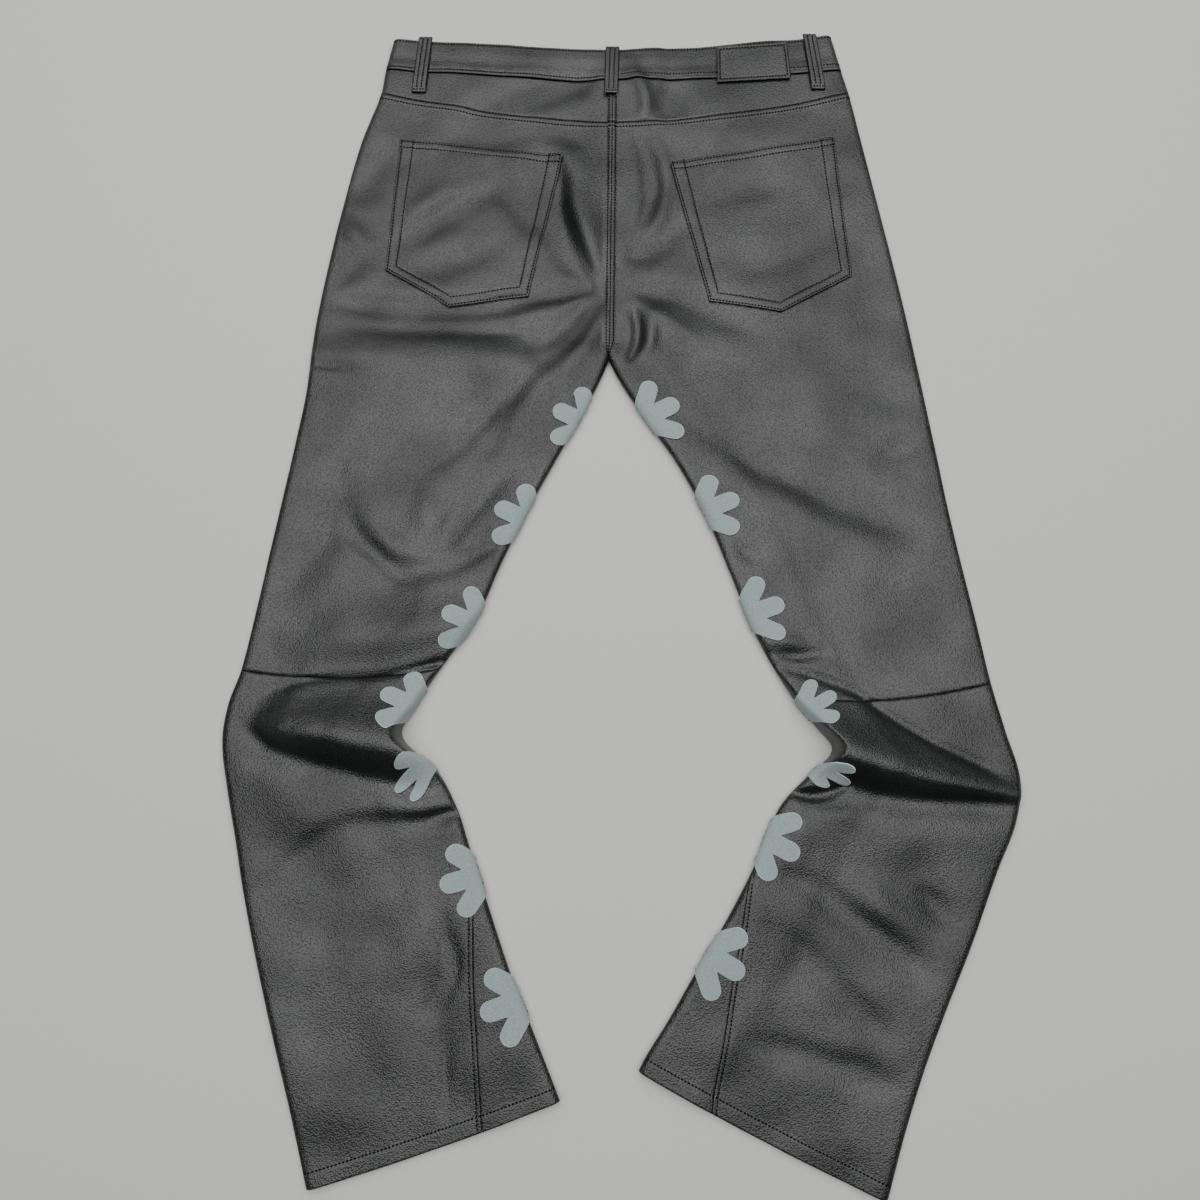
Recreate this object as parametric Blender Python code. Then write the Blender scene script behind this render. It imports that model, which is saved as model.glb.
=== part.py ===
"""Leather trousers that lie flat on their front, with the back and its two pockets upward.

The cut is a flared five-pocket style: a waistband with belt loops, a back yoke, back legs cut
in two at the knee, whole fronts, a godet let into the lower inseam of each leg, and a row of
petalled patches that wrap round each inseam.

Lengths in the tables are millimetres. X points to the wearer's right as seen from behind, Y
towards the waist and Z up, away from the surface that the trousers lie on.
"""

import math

import bmesh
import bpy
from mathutils import Vector
from mathutils.bvhtree import BVHTree

MM = 0.001

# Leather
WALL = 1.2  # one layer
DOUBLE = 2.4  # two layers: waistband, turned hems, belt loops
GAP = 0.3  # room between pieces that meet

# How the trousers lie
BASE = 6.2  # height of the back's outer face where nothing lifts it
PUFF = 1.5  # how much higher the leather stands beside a rolled edge
PUFF_REACH = 20
ROLL = 7  # width of the rolled edge, seen from above
ROLL_ARC = 11  # length of leather in that roll, from the side seam to the flat
OUTER_SEAM_Z = 3.7  # height at which front and back meet along the outseam
INNER_SEAM_Z = 4.6  # and along the inseam
SHEET_LOW = 3.0  # the back's outer face never comes lower, or it would touch the front

# Waistband, yoke and hems
BAND_STEP = 1.4  # how far the waistband stands above the yoke
BAND_FOOT = (440, 472)  # between these places the back rises from the yoke to the waistband
CENTRE_X = -13  # the centre seam

# Front closing, on the underside
LAP = 40  # overlap of the waistband's two ends
LAP_LEAD = 28  # length over which the back rises on the way to it
LAP_RAMP = 14
LAP_FACE = 13  # length of a face of the end that lies underneath
LAP_HEIGHT = DOUBLE + GAP + 0.05  # how far the end on top is bent round it
LAP_RISE = 1.6  # how much more the back of the waistband stands up over the overlap
BUTTON = {"x": 8, "y": 486, "radius": 8.5, "thick": 2.2, "edge": 0.6}
ZIP_HALF = 13  # half the width of the zip's tape
ZIP_THICK = 0.9

# Belt loops
LOOP_WIDTH = 14
LOOP_THICK = 2.4
LOOP_ROOM = 0.35  # between the leather and the loops or the waist patch, which bend less

# Petalled patches
PATCH_THICK = 1.0
PATCH_GAP = 0.5  # they bend more than the leather below, so they keep more room
PETAL_SPREAD = 45  # degrees from petal to petal, three on the back and three on the front
PETAL_REACH = 32.6  # from where the petals' middle lines meet to the centre of a round end
PETAL_ROUND = 8.4  # radius of that round end
PETAL_BENDS = (-90, -45, 0, 45, 90)  # degrees round a petal's end
PATCH_MARGIN = 46  # width of the inner margin that the patches need underneath
PATCH_FADE = 22  # the front comes down to the surface over this width
PATCHES_END = (170, 192)  # and above the crotch it needs no such margin
PATCH_LIFT = PATCH_THICK + PATCH_GAP + 0.05

# Godet
GODET_GAP = 0.8  # its narrow top twists round the rolled edge, so it keeps more room
GODET_TOP = 1.0
GODET_HEM = 67
GODET_FLATS = 3  # columns of faces on its flat stretch, on the back and on the front alike

BACK_FLATS = 9  # columns of faces between the two rolls of a back leg
FRONT_FLATS = 3  # and of a front leg, outside the inner margin
MARGIN_COLUMNS = (72, 50, 30)  # columns of the inner margin, from the inseam
ROLL_FACES = {1: 3, -1: 2}  # columns of faces round a rolled edge, on the back and the front
SKIN_COLUMNS = {1: 7, -1: 6}  # columns of points that a patch takes from the back and the front
BAND_FACES = 8  # faces of a waistband front on each side of its ramp
LOOP_FACES = 6
LABEL_ROWS, LABEL_COLUMNS = 4, 8
STEEPEST = 2.2  # on a steep fold the wall is thickened no more than this, measured upright
BELOW_ALL, ABOVE_ALL = -20, 80  # heights clear of all the leather

# Sections of each leg from the waist to the hem. Steps is the number of rows of faces down to
# the next section, and bow how far the section's middle lies below a straight line.
COLUMNS = ("name", "outer_x", "outer_y", "inner_x", "inner_y", "bow", "steps")
SECTIONS = {
    "left": (
        ("waist_top", -232, 514, -13, 503, 1, 2),
        ("waist_seam", -238, 479, -13, 469, 2, 2),
        ("yoke_seam", -241, 452, -13, 422, 5, 2),
        ("hip", -257, 395, -13, 372, 3, 3),
        ("seat", -270, 322, -13, 310, 0, 3),
        ("seat_low", -280, 252, -13, 245, 0, 2),
        ("rise_end", -285, 208, -13, 192, 0, 1),
        ("crotch", -287, 180, -14, 167, 0, 2),
        ("groin", -289, 134, -35, 119, 0, 2),
        ("thigh_high", -295, 83, -60, 70, 0, 2),
        ("thigh", -302, 31, -84, 22, 0, 2),
        ("thigh_low", -309, -20, -106, -28, 0, 2),
        ("over_knee", -316, -72, -125, -76, 2, 3),
        ("knee_seam", -324, -123, -154, -120, 7, 2),
        ("knee_bend", -332, -152, -172, -150, 4, 3),
        ("knee", -334, -183, -183, -177, 0, 3),
        ("knee_low", -326, -222, -153, -204, 0, 4),
        ("shin", -315, -264, -134, -236, 0, 2),
        ("godet_top", -305, -304, -122, -268, 0, 3),
        ("shin_low", -289, -359, -104, -316, 0, 2),
        ("flare", -272, -412, -86, -363, 0, 2),
        ("hem_high", -253, -468, -65, -410, 0, 2),
        ("hem_turn", -240, -509, -49, -446, 2, 1),
        ("hem", -236, -522, -44, -457, 3, 0),
    ),
    "right": (
        ("waist_top", 206, 525, -13, 503, 3, 2),
        ("waist_seam", 215, 485, -13, 469, 4, 2),
        ("yoke_seam", 221, 460, -13, 422, 8, 2),
        ("hip", 231, 405, -13, 372, 4, 3),
        ("seat", 247, 315, -13, 310, 0, 3),
        ("seat_low", 258, 252, -13, 245, 0, 2),
        ("rise_end", 265, 208, -13, 192, 0, 1),
        ("crotch", 269, 180, -12, 167, 0, 2),
        ("groin", 276, 131, 16, 118, 0, 2),
        ("thigh_high", 283, 81, 48, 71, 0, 2),
        ("thigh", 290, 30, 74, 21, 0, 2),
        ("thigh_low", 298, -20, 95, -32, 0, 2),
        ("over_knee", 307, -71, 116, -87, 2, 3),
        ("knee_seam", 316, -126, 147, -142, 7, 2),
        ("knee_bend", 325, -166, 166, -166, 4, 3),
        ("knee", 334, -206, 178, -184, 0, 3),
        ("knee_low", 328, -240, 155, -207, 0, 4),
        ("shin", 309, -281, 132, -232, 0, 2),
        ("godet_top", 285, -336, 108, -283, 0, 3),
        ("shin_low", 260, -388, 87, -321, 0, 2),
        ("flare", 240, -432, 63, -359, 0, 2),
        ("hem_high", 222, -478, 40, -397, 0, 2),
        ("hem_turn", 210, -513, 22, -424, 2, 1),
        ("hem", 206, -525, 16, -435, 3, 0),
    ),
}

# Folds of the back: each runs from one place to another and has, at each end, its half-width
# and its rise above the leather around it. A trough has a negative rise.
FOLD_COLUMNS = ("x0", "y0", "half0", "rise0", "x1", "y1", "half1", "rise1")
FOLDS = {
    "knee_left_shadow": (-268, -132, 12, -2, -158, -112, 10, -5),
    "knee_left_ridge": (-322, -150, 16, 9, -190, -170, 15, 17),
    "knee_left_trough": (-300, -186, 9, -6, -190, -201, 9, -11),
    "knee_left_mound": (-302, -222, 22, 11, -188, -222, 12, 11),
    "knee_left_pinch": (-236, -262, 15, -2, -142, -236, 8, -5),
    "knee_right_shoulder": (232, -138, 18, 3, 318, -178, 18, 10),
    "knee_right_hollow": (146, -126, 13, -3, 300, -192, 11, -6),
    "knee_right_ridge": (184, -181, 11, 21, 316, -212, 12, 13),
    "knee_right_trough": (200, -212, 7, -9, 312, -227, 7, -6),
    "knee_right_shelf": (150, -212, 9, 5, 180, -218, 9, 8),
    "knee_right_pinch": (140, -224, 6, -4, 176, -226, 6, -3),
    "knee_right_bank": (150, -246, 12, 5, 312, -248, 18, 9),
    "knee_right_nick": (126, -106, 8, -3, 156, -100, 8, -3),
    "seat_trough": (-60, 388, 16, -2, -24, 232, 9, -3),
    "seat_ridge": (-37, 365, 10, 3, -27, 285, 8, 3),
    "seat_crease_right": (19, 412, 9, -2, 33, 320, 9, -2),
    "yoke_bump": (24, 462, 10, 2, 22, 430, 10, 2),
    "pocket_drag": (-213, 283, 14, -2, -149, 326, 14, -1),
    "hip_drag": (-262, 222, 14, 2, -224, 262, 14, 1),
    "under_pocket_trough": (-222, 207, 14, -2, -36, 228, 8, -3),
    "under_pocket_ridge": (-236, 187, 12, 3, -60, 206, 9, 3),
    "crotch_trough_left": (-250, 165, 14, -2, -60, 188, 9, -3),
    "crotch_ridge_left": (-250, 143, 14, 2, -30, 168, 10, 3),
    "thigh_trough_left": (-56, 138, 14, -3, -210, 14, 20, -2),
    "thigh_ridge_left": (-110, 132, 18, 2, -250, 40, 20, 2),
    "thigh_crease_left": (-127, 58, 12, 2, -236, -28, 16, 2),
    "crotch_trough_right": (8, 222, 8, -3, 8, 182, 6, -3),
    "crotch_drag_right": (24, 226, 10, -2, 110, 184, 12, -2),
    "crotch_ridge_right": (26, 200, 9, 3, 70, 160, 12, 2),
    "thigh_trough_right": (58, 108, 16, -2, 240, 18, 20, -2),
    "thigh_ridge_right": (90, 60, 18, 2, 230, -30, 20, 2),
    "shin_trough_right": (132, -284, 12, -2, 236, -336, 16, -2),
    "shin_ridge_right": (187, -289, 14, 2, 262, -372, 14, 2),
    "flare_trough_right": (98, -352, 14, -1, 216, -420, 16, -2),
    "flare_trough_left": (-138, -335, 12, -2, -152, -404, 12, -2),
    "flare_ridge_left": (-180, -330, 20, 2, -200, -430, 20, 1),
}

# What lies under the front and lifts it: centre, half-lengths of its level top, and height.
LIFTS = {
    "button": (BUTTON["x"], BUTTON["y"], 16, 16, BUTTON["thick"] + GAP + 0.05),
    "front_loop_left": (-128, 478, 34, 46, LOOP_THICK + GAP + 0.05),
    "front_loop_right": (102, 480, 34, 46, LOOP_THICK + GAP + 0.05),
}
LIFT_FADE = 24

# Belt loops: the x of the middle and the y of the top, then the same at the bottom.
BACK_LOOPS = {
    "left": (-199, 515, -203, 452),
    "centre": (-13, 505, -14, 451),
    "right": (183, 524, 190, 461),
}
FRONT_LOOPS = {
    "left": (-126, 508, -130, 448),
    "right": (100, 510, 104, 450),
}

# Corners of the patch pockets, from the one at the top beside the centre seam.
POCKETS = {
    "left": ((-60, 384), (-218, 399), (-224, 258), (-163, 222), (-89, 234)),
    "right": ((44, 377), (80, 231), (147, 220), (214, 258), (203, 407)),
}
POCKET_THICK = 1.3

WAIST_PATCH = ((90, 466), (163, 472), (160, 513), (90, 506))
WAIST_PATCH_THICK = 1.4

# Petalled patches: a point of each on the inner edge; degrees that its petals turn towards the
# hem; how far the point where they meet is moved onto the back, measured on the leather; its
# length along the edge and its width as shares of the real ones, less where the leather falls
# steeply into a fold; and degrees that its width leans from square to the edge.
PATCHES = {
    "left": (
        (-42, 109, 0, -12, 0.97, 1.0, 0),
        (-92, 16, -2, -10, 0.97, 1.0, 0),
        (-129, -79, 4, -9, 0.93, 1.0, 0),
        (-173, -152, 0, -5, 0.88, 1.0, 0),
        (-158, -199, 3, -3, 0.6, 0.8, 0),
        (-116, -291, -5, -5, 0.93, 1.0, 0),
        (-81, -386, -5, -4, 0.96, 1.0, 0),
    ),
    "right": (
        (26, 114, 3, -3, 1.0, 1.0, 0),
        (77, 25, 0, -4, 0.95, 1.0, 0),
        (116, -67, 0, -3, 0.94, 1.0, 0),
        (152, -153, 5, -4, 0.65, 1.0, 0),
        (164, -201, 5, -3, 0.42, 0.9, 27),
        (119, -257, 3, -7, 0.95, 1.0, 0),
        (75, -350, -3, -4, 0.97, 1.0, 0),
    ),
}

COLOURS = {
    "leather": (0.030, 0.033, 0.033),
    "suede": (0.30, 0.36, 0.36),
    "metal": (0.35, 0.33, 0.30),
    "tape": (0.02, 0.02, 0.02),
}
FINISHES = {
    "leather": (0.42, 0.0),
    "suede": (0.9, 0.0),
    "metal": (0.35, 1.0),
    "tape": (0.8, 0.0),
}


# ---------------------------------------------------------------- sections of a leg


def mix(a, b, share):
    return a + (b - a) * share


def smooth(low, high, value):
    """0 below low, 1 above high, and a soft step between them."""
    share = min(max((value - low) / (high - low), 0.0), 1.0)
    return share * share * (3 - 2 * share)


def names(side):
    return [row[0] for row in SECTIONS[side]]


def number(side, name):
    """The section's place in the table, which is also its place along the leg."""
    return names(side).index(name)


def section_points(side):
    rows = [dict(zip(COLUMNS, row)) for row in SECTIONS[side]]
    outer = [Vector((row["outer_x"], row["outer_y"])) for row in rows]
    inner = [Vector((row["inner_x"], row["inner_y"])) for row in rows]
    bows = [row["bow"] for row in rows]
    return outer, inner, bows


POINTS = {side: section_points(side) for side in SECTIONS}


def along(points, place):
    """A smooth line through the points, read at a place counted in sections."""
    i = min(int(place), len(points) - 2)
    share = place - i
    before = points[max(i - 1, 0)]
    start, end = points[i], points[i + 1]
    after = points[min(i + 2, len(points) - 1)]
    length = (end - start).length
    leave = (end - before) * (length / ((start - before).length + length))
    arrive = (after - start) * (length / ((after - end).length + length))
    s2, s3 = share * share, share**3
    return (
        start * (2 * s3 - 3 * s2 + 1)
        + leave * (s3 - 2 * s2 + share)
        + end * (3 * s2 - 2 * s3)
        + arrive * (s3 - s2)
    )


def ends(side, place):
    """Outer and inner end of the section line at a place, with half a seam's room inside."""
    outer, inner, _ = POINTS[side]
    a, b = along(outer, place), along(inner, place)
    inward = (a - b).normalized()
    return a, b + inward * (GAP / 2)


def bow_at(side, place):
    bows = POINTS[side][2]
    i = min(int(place), len(bows) - 2)
    return mix(bows[i], bows[i + 1], place - i)


def span(side, place):
    """Length of leather from the outseam to the inseam along the section."""
    a, b = ends(side, place)
    return (a - b).length - 2 * ROLL + 2 * ROLL_ARC


def inseam(side, place):
    """0 above the crotch, where the inner end is the centre seam, and 1 below it."""
    crotch = number(side, "crotch")
    return smooth(crotch - 1, crotch, place)


# ---------------------------------------------------------------- heights


def fold_heights(x, y):
    """What the folds add to the back's height."""
    total = 0.0
    for row in FOLDS.values():
        fold = dict(zip(FOLD_COLUMNS, row))
        dx, dy = fold["x1"] - fold["x0"], fold["y1"] - fold["y0"]
        share = ((x - fold["x0"]) * dx + (y - fold["y0"]) * dy) / (dx * dx + dy * dy)
        share = min(max(share, 0.0), 1.0)
        off_x = x - fold["x0"] - dx * share
        off_y = y - fold["y0"] - dy * share
        half = mix(fold["half0"], fold["half1"], share)
        rise = mix(fold["rise0"], fold["rise1"], share)
        total += rise * math.exp(-(off_x * off_x + off_y * off_y) / (half * half))
    return total


def lift(x, y):
    """How far the button and the front belt loops hold the front off the surface below."""
    most = 0.0
    for cx, cy, half_x, half_y, height in LIFTS.values():
        past = math.hypot(max(abs(x - cx) - half_x, 0), max(abs(y - cy) - half_y, 0))
        most = max(most, height * (1 - smooth(0, LIFT_FADE, past)))
    return most


def lap(x):
    """1 over the overlap of the waistband's ends and 0 away from it."""
    rise = smooth(CENTRE_X - 2 - LAP_LEAD, CENTRE_X - 2, x)
    return rise * (1 - smooth(CENTRE_X + LAP + 2, CENTRE_X + LAP + 2 + LAP_RAMP, x))


def under_height(x, y, from_inner):
    """Height of the front's outer face, which rests at 0 where nothing lies under it."""
    margin = 1 - smooth(PATCH_MARGIN, PATCH_MARGIN + PATCH_FADE, from_inner)
    below_crotch = 1 - smooth(*PATCHES_END, y)
    return lift(x, y) + PATCH_LIFT * margin * below_crotch


def back_height(side, place, x, y, from_outer, from_inner):
    """Height of the back's outer face."""
    rolled = PUFF * math.exp(-(((from_outer - ROLL) / PUFF_REACH) ** 2))
    rolled += PUFF * inseam(side, place) * math.exp(-(((from_inner - ROLL) / PUFF_REACH) ** 2))
    under = under_height(x, y, from_inner)
    over_lap = LAP_RISE * lap(x) * smooth(*BAND_FOOT, y)
    wanted = BASE + rolled + fold_heights(x, y) + under + over_lap
    lowest = SHEET_LOW + under
    # Two curves meet without a crease: the leather comes to lie on the front.
    spare = wanted - lowest
    return lowest + 0.5 * (spare + math.sqrt(spare * spare + 1.0))


# ---------------------------------------------------------------- points on the leather


def plan(side, place, arc):
    """The point seen from above, its distances from both edges and its share of each roll."""
    a, b = ends(side, place)
    width = (a - b).length
    across = (b - a) / width
    whole = span(side, place)
    outer_roll = min(arc / ROLL_ARC, 1.0)
    inner_roll = min((whole - arc) / ROLL_ARC, 1.0)
    if outer_roll < 1:
        from_outer = ROLL * (1 - math.cos(outer_roll * math.pi / 2))
    elif inner_roll < 1:
        from_outer = width - ROLL * (1 - math.cos(inner_roll * math.pi / 2))
    else:
        from_outer = ROLL + arc - ROLL_ARC
    return a, across, width, from_outer, outer_roll, inner_roll


def plan_point(side, place, from_outer, a, across, width):
    share = from_outer / width
    bow = 4 * bow_at(side, place) * share * (1 - share)
    return a + across * from_outer - Vector((0, bow))


def leather(side, place, arc, face, depth, extra=0.0):
    """A point of one leg. Arc is the length of leather from the outseam, face is 1 on the back
    and -1 on the front, and depth is the distance inside the outer face."""
    a, across, width, from_outer, outer_roll, inner_roll = plan(side, place, arc)
    level = min(max(from_outer, ROLL), width - ROLL)
    at = plan_point(side, place, level, a, across, width)

    def outer_face(x, y):
        if face > 0:
            return back_height(side, place, x, y, level, width - level) + extra
        return under_height(x, y, width - level) + extra

    height = outer_face(at.x, at.y)
    step = 1.0
    slope_x = (outer_face(at.x + step, at.y) - height) / step
    slope_y = (outer_face(at.x, at.y + step) - height) / step
    steep = min(math.sqrt(1 + slope_x**2 + slope_y**2), STEEPEST)
    flat_z = height - face * depth * steep

    if outer_roll < 1:
        share, seam_z, hold = outer_roll, OUTER_SEAM_Z, 1.0
        sign = 1
    elif inner_roll < 1:
        share, seam_z, hold = inner_roll, INNER_SEAM_Z, inseam(side, place)
        sign = -1
    else:
        point = plan_point(side, place, from_outer, a, across, width)
        return Vector((point.x, point.y, flat_z))

    seam_z -= GAP if face < 0 else 0
    angle = share * math.pi / 2
    rolled_in = depth + (ROLL - depth) * (1 - math.cos(angle))
    rolled_z = seam_z + (flat_z - seam_z) * math.sin(angle)
    open_in = ROLL * (1 - math.cos(angle))
    inside = mix(open_in, rolled_in, hold)
    z = mix(flat_z, rolled_z, hold)
    reach = inside if sign > 0 else width - inside
    point = plan_point(side, place, reach, a, across, width)
    return Vector((point.x, point.y, z))


# ---------------------------------------------------------------- rows and columns of faces


def row_places(side, first, last):
    """Places of the rows of faces from one named section to another, half a gap inside both."""
    outer, inner, _ = POINTS[side]
    low, high = number(side, first), number(side, last)
    places = []
    for i in range(low, high):
        steps = SECTIONS[side][i][-1]
        places += [i + k / steps for k in range(steps)]
    places.append(high)

    def half_gap(i):
        length = ((outer[i + 1] - outer[i]).length + (inner[i + 1] - inner[i]).length) / 2
        return GAP / 2 / length

    places[0] = low + half_gap(low)
    places[-1] = high - half_gap(high - 1)
    return places


def godet_width(side, place):
    """How far the godet reaches from the fold, on the back and on the front alike."""
    top, hem = number(side, "godet_top"), number(side, "hem")
    if place < top:
        return 0.0
    inner = POINTS[side][1]
    lengths = [(inner[i + 1] - inner[i]).length for i in range(top, hem)]
    whole = int(place) - top
    so_far = sum(lengths[:whole])
    if whole < len(lengths):
        so_far += lengths[whole] * (place - int(place))
    return mix(GODET_TOP, GODET_HEM, so_far / sum(lengths))


def panel_columns(side, place, face, end=None):
    """Arcs of the columns of a panel, which ends at the godet where there is one."""
    if end is None:
        godet = godet_width(side, place)
        end = span(side, place) - godet - (GODET_GAP / 2 if godet else 0)
    faces = ROLL_FACES[face]
    flat_end = end - ROLL_ARC
    if face > 0:
        middle = [mix(ROLL_ARC, flat_end, k / BACK_FLATS) for k in range(BACK_FLATS)]
    else:
        margin = [end - reach for reach in MARGIN_COLUMNS]
        middle = [mix(ROLL_ARC, margin[0], k / FRONT_FLATS) for k in range(FRONT_FLATS)]
        middle += margin
    arcs = [ROLL_ARC * k / faces for k in range(faces)]
    return arcs + middle + [end - ROLL_ARC * (1 - k / faces) for k in range(faces + 1)]


def wall_depth(side, place, thick):
    """The leather is doubled where the hem is turned up."""
    return DOUBLE if place > number(side, "hem_turn") - 0.01 else thick


def panel_grid(side, places, face, depth, extra=0.0):
    """Rows of points of a panel at one depth. At depth 0 it is the outer face."""
    grid = []
    for place in places:
        d = wall_depth(side, place, depth) if depth > 0 else depth
        arcs = panel_columns(side, place, face)
        grid.append([leather(side, place, arc, face, d, extra) for arc in arcs])
    return grid


# ---------------------------------------------------------------- solids


def fresh_scene():
    for old in list(bpy.data.objects):
        bpy.data.objects.remove(old)
    parts = bpy.data.collections.new("leather_trousers")
    cutters = bpy.data.collections.new("cutters")
    bpy.context.scene.collection.children.link(parts)
    bpy.context.scene.collection.children.link(cutters)
    return parts, cutters


def material(name, kind):
    made = bpy.data.materials.new(name)
    made.use_nodes = True
    shader = made.node_tree.nodes["Principled BSDF"]
    roughness, metallic = FINISHES[kind]
    shader.inputs["Base Color"].default_value = (*COLOURS[kind], 1)
    shader.inputs["Roughness"].default_value = roughness
    shader.inputs["Metallic"].default_value = metallic
    made.diffuse_color = (*COLOURS[kind], 1)
    return made


def add_object(name, mesh_maker, kind, collection):
    """An object from a mesh that is built in millimetres."""
    work = bmesh.new()
    mesh_maker(work)
    bmesh.ops.scale(work, vec=(MM, MM, MM), verts=work.verts)
    bmesh.ops.recalc_face_normals(work, faces=work.faces)
    mesh = bpy.data.meshes.new(name)
    work.to_mesh(mesh)
    work.free()
    if kind:
        mesh.materials.append(material(name, kind))
        mesh.shade_smooth()
        mesh.set_sharp_from_angle(angle=math.radians(40))
    obj = bpy.data.objects.new(name, mesh)
    collection.objects.link(obj)
    return obj


def loft_wall(work, outer, inner):
    """A closed wall between two grids of points with the same rows and columns."""
    rows, columns = len(outer), len(outer[0])
    sheets = [[[work.verts.new(p) for p in row] for row in grid] for grid in (outer, inner)]
    for top in sheets:
        for i in range(rows - 1):
            for j in range(columns - 1):
                # The same diagonal in every layer, so that layers never cross.
                work.faces.new((top[i][j], top[i + 1][j], top[i + 1][j + 1]))
                work.faces.new((top[i][j], top[i + 1][j + 1], top[i][j + 1]))
    rim = [(0, j) for j in range(columns)]
    rim += [(i, columns - 1) for i in range(1, rows)]
    rim += [(rows - 1, j) for j in range(columns - 2, -1, -1)]
    rim += [(i, 0) for i in range(rows - 2, 0, -1)]
    for (i, j), (k, m) in zip(rim, rim[1:] + rim[:1]):
        work.faces.new((sheets[0][i][j], sheets[0][k][m], sheets[1][k][m], sheets[1][i][j]))


def add_wall(name, outer, inner, kind, collection):
    return add_object(name, lambda work: loft_wall(work, outer, inner), kind, collection)


def add_panel(name, side, first, last, face, parts):
    places = row_places(side, first, last)
    outer = panel_grid(side, places, face, 0)
    inner = panel_grid(side, places, face, WALL)
    return add_wall(name, outer, inner, "leather", parts)


# ---------------------------------------------------------------- the pieces


def add_waistband(parts):
    """The back of the waistband, in one strip from side fold to side fold, and its two fronts,
    whose ends lap at the centre."""
    grids = {}
    for side in SECTIONS:
        places = row_places(side, "waist_top", "waist_seam")
        places[0] = 0.0
        for depth in (0, DOUBLE):
            grids[side, depth] = panel_grid(side, places, 1, depth, BAND_STEP)

    def whole(depth):
        left, right = grids["left", depth], grids["right", depth]
        return [a[:-1] + b[-2::-1] for a, b in zip(left, right)]

    add_wall("waistband_back", whole(0), whole(DOUBLE), "leather", parts)

    for side in SECTIONS:
        places = row_places(side, "waist_top", "waist_seam")
        places[0] = 0.0
        outer, inner = (
            [waistband_front_row(side, place, depth) for place in places]
            for depth in (0, DOUBLE)
        )
        add_wall(f"waistband_front_{side}", outer, inner, "leather", parts)


def waistband_front_row(side, place, depth):
    """One row of a front end of the waistband. The left end runs on under the right one."""
    whole = span(side, place)
    if side == "left":
        arcs = panel_columns(side, place, 1)
        row = [leather(side, place, arc, -1, depth) for arc in arcs[:-1]]
        right = [span("right", place) - x for x in range(1, LAP + 1, LAP_FACE)]
        return row + [leather("right", place, arc, -1, depth) for arc in right]
    arcs = [ROLL_ARC * k / ROLL_FACES[1] for k in range(ROLL_FACES[1])]
    ramp = whole - LAP - LAP_RAMP - 8
    arcs += [mix(ROLL_ARC, ramp, k / BAND_FACES) for k in range(BAND_FACES)]
    arcs += [mix(ramp, whole, k / BAND_FACES) for k in range(BAND_FACES + 1)]
    row = []
    for arc in arcs:
        point = leather(side, place, arc, -1, depth)
        point.z += LAP_HEIGHT * lap(point.x)
        row.append(point)
    return row


def add_yokes_and_backs(parts):
    for side in SECTIONS:
        add_panel(f"yoke_{side}", side, "waist_seam", "yoke_seam", 1, parts)
        add_panel(f"back_thigh_{side}", side, "yoke_seam", "knee_seam", 1, parts)
        add_panel(f"back_calf_{side}", side, "knee_seam", "hem", 1, parts)


def add_fronts(parts):
    for side in SECTIONS:
        add_panel(f"front_{side}", side, "waist_seam", "hem", -1, parts)


def godet_row(side, place, depth):
    """Across the back, round the fold and back across the front."""
    whole = span(side, place)
    width = godet_width(side, place) - GODET_GAP / 2
    roll = min(ROLL_ARC, width / 2)
    row = []
    for face in (1, -1):
        faces = ROLL_FACES[face]
        reach = [roll * k / faces for k in range(faces + 1)]
        reach += [mix(roll, width, k / GODET_FLATS) for k in range(1, GODET_FLATS + 1)]
        points = [leather(side, place, whole - r, face, depth) for r in reach]
        row += points[::-1] if face > 0 else points
    return row


def add_godets(parts):
    for side in SECTIONS:
        places = row_places(side, "godet_top", "hem")
        places[0] = number(side, "godet_top")
        outer = [godet_row(side, place, 0) for place in places]
        inner = [godet_row(side, place, wall_depth(side, place, WALL)) for place in places]
        add_wall(f"godet_{side}", outer, inner, "leather", parts)


def prism(work, outline, low, high):
    """A straight-sided block over an outline that is given from above, anticlockwise."""
    bottom = [work.verts.new((x, y, low)) for x, y in outline]
    top = [work.verts.new((x, y, high)) for x, y in outline]
    work.faces.new(bottom[::-1])
    work.faces.new(top)
    for i, start in enumerate(bottom):
        k = (i + 1) % len(bottom)
        work.faces.new((start, bottom[k], top[k], top[i]))


def cut_to(obj, outline, cutters):
    """Keeps only what lies over or under the outline."""

    def block(work):
        prism(work, outline, BELOW_ALL, ABOVE_ALL)

    cutter = add_object(f"{obj.name}_outline", block, None, cutters)
    cutter.hide_render = True
    cutter.display_type = "WIRE"
    keep = obj.modifiers.new("outline", "BOOLEAN")
    keep.operation = "INTERSECT"
    keep.object = cutter


def add_pockets(parts, cutters):
    """Each patch pocket is made from the points of the leather that it lies on."""
    for side in SECTIONS:
        places = row_places(side, "yoke_seam", "rise_end")
        low = panel_grid(side, places, 1, -GAP)
        high = panel_grid(side, places, 1, -GAP - POCKET_THICK)
        rows = slice(1, None)
        columns = slice(ROLL_FACES[1], -1)
        low = [row[columns] for row in low[rows]]
        high = [row[columns] for row in high[rows]]
        pocket = add_wall(f"back_pocket_{side}", high, low, "leather", parts)
        cut_to(pocket, POCKETS[side], cutters)


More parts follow.
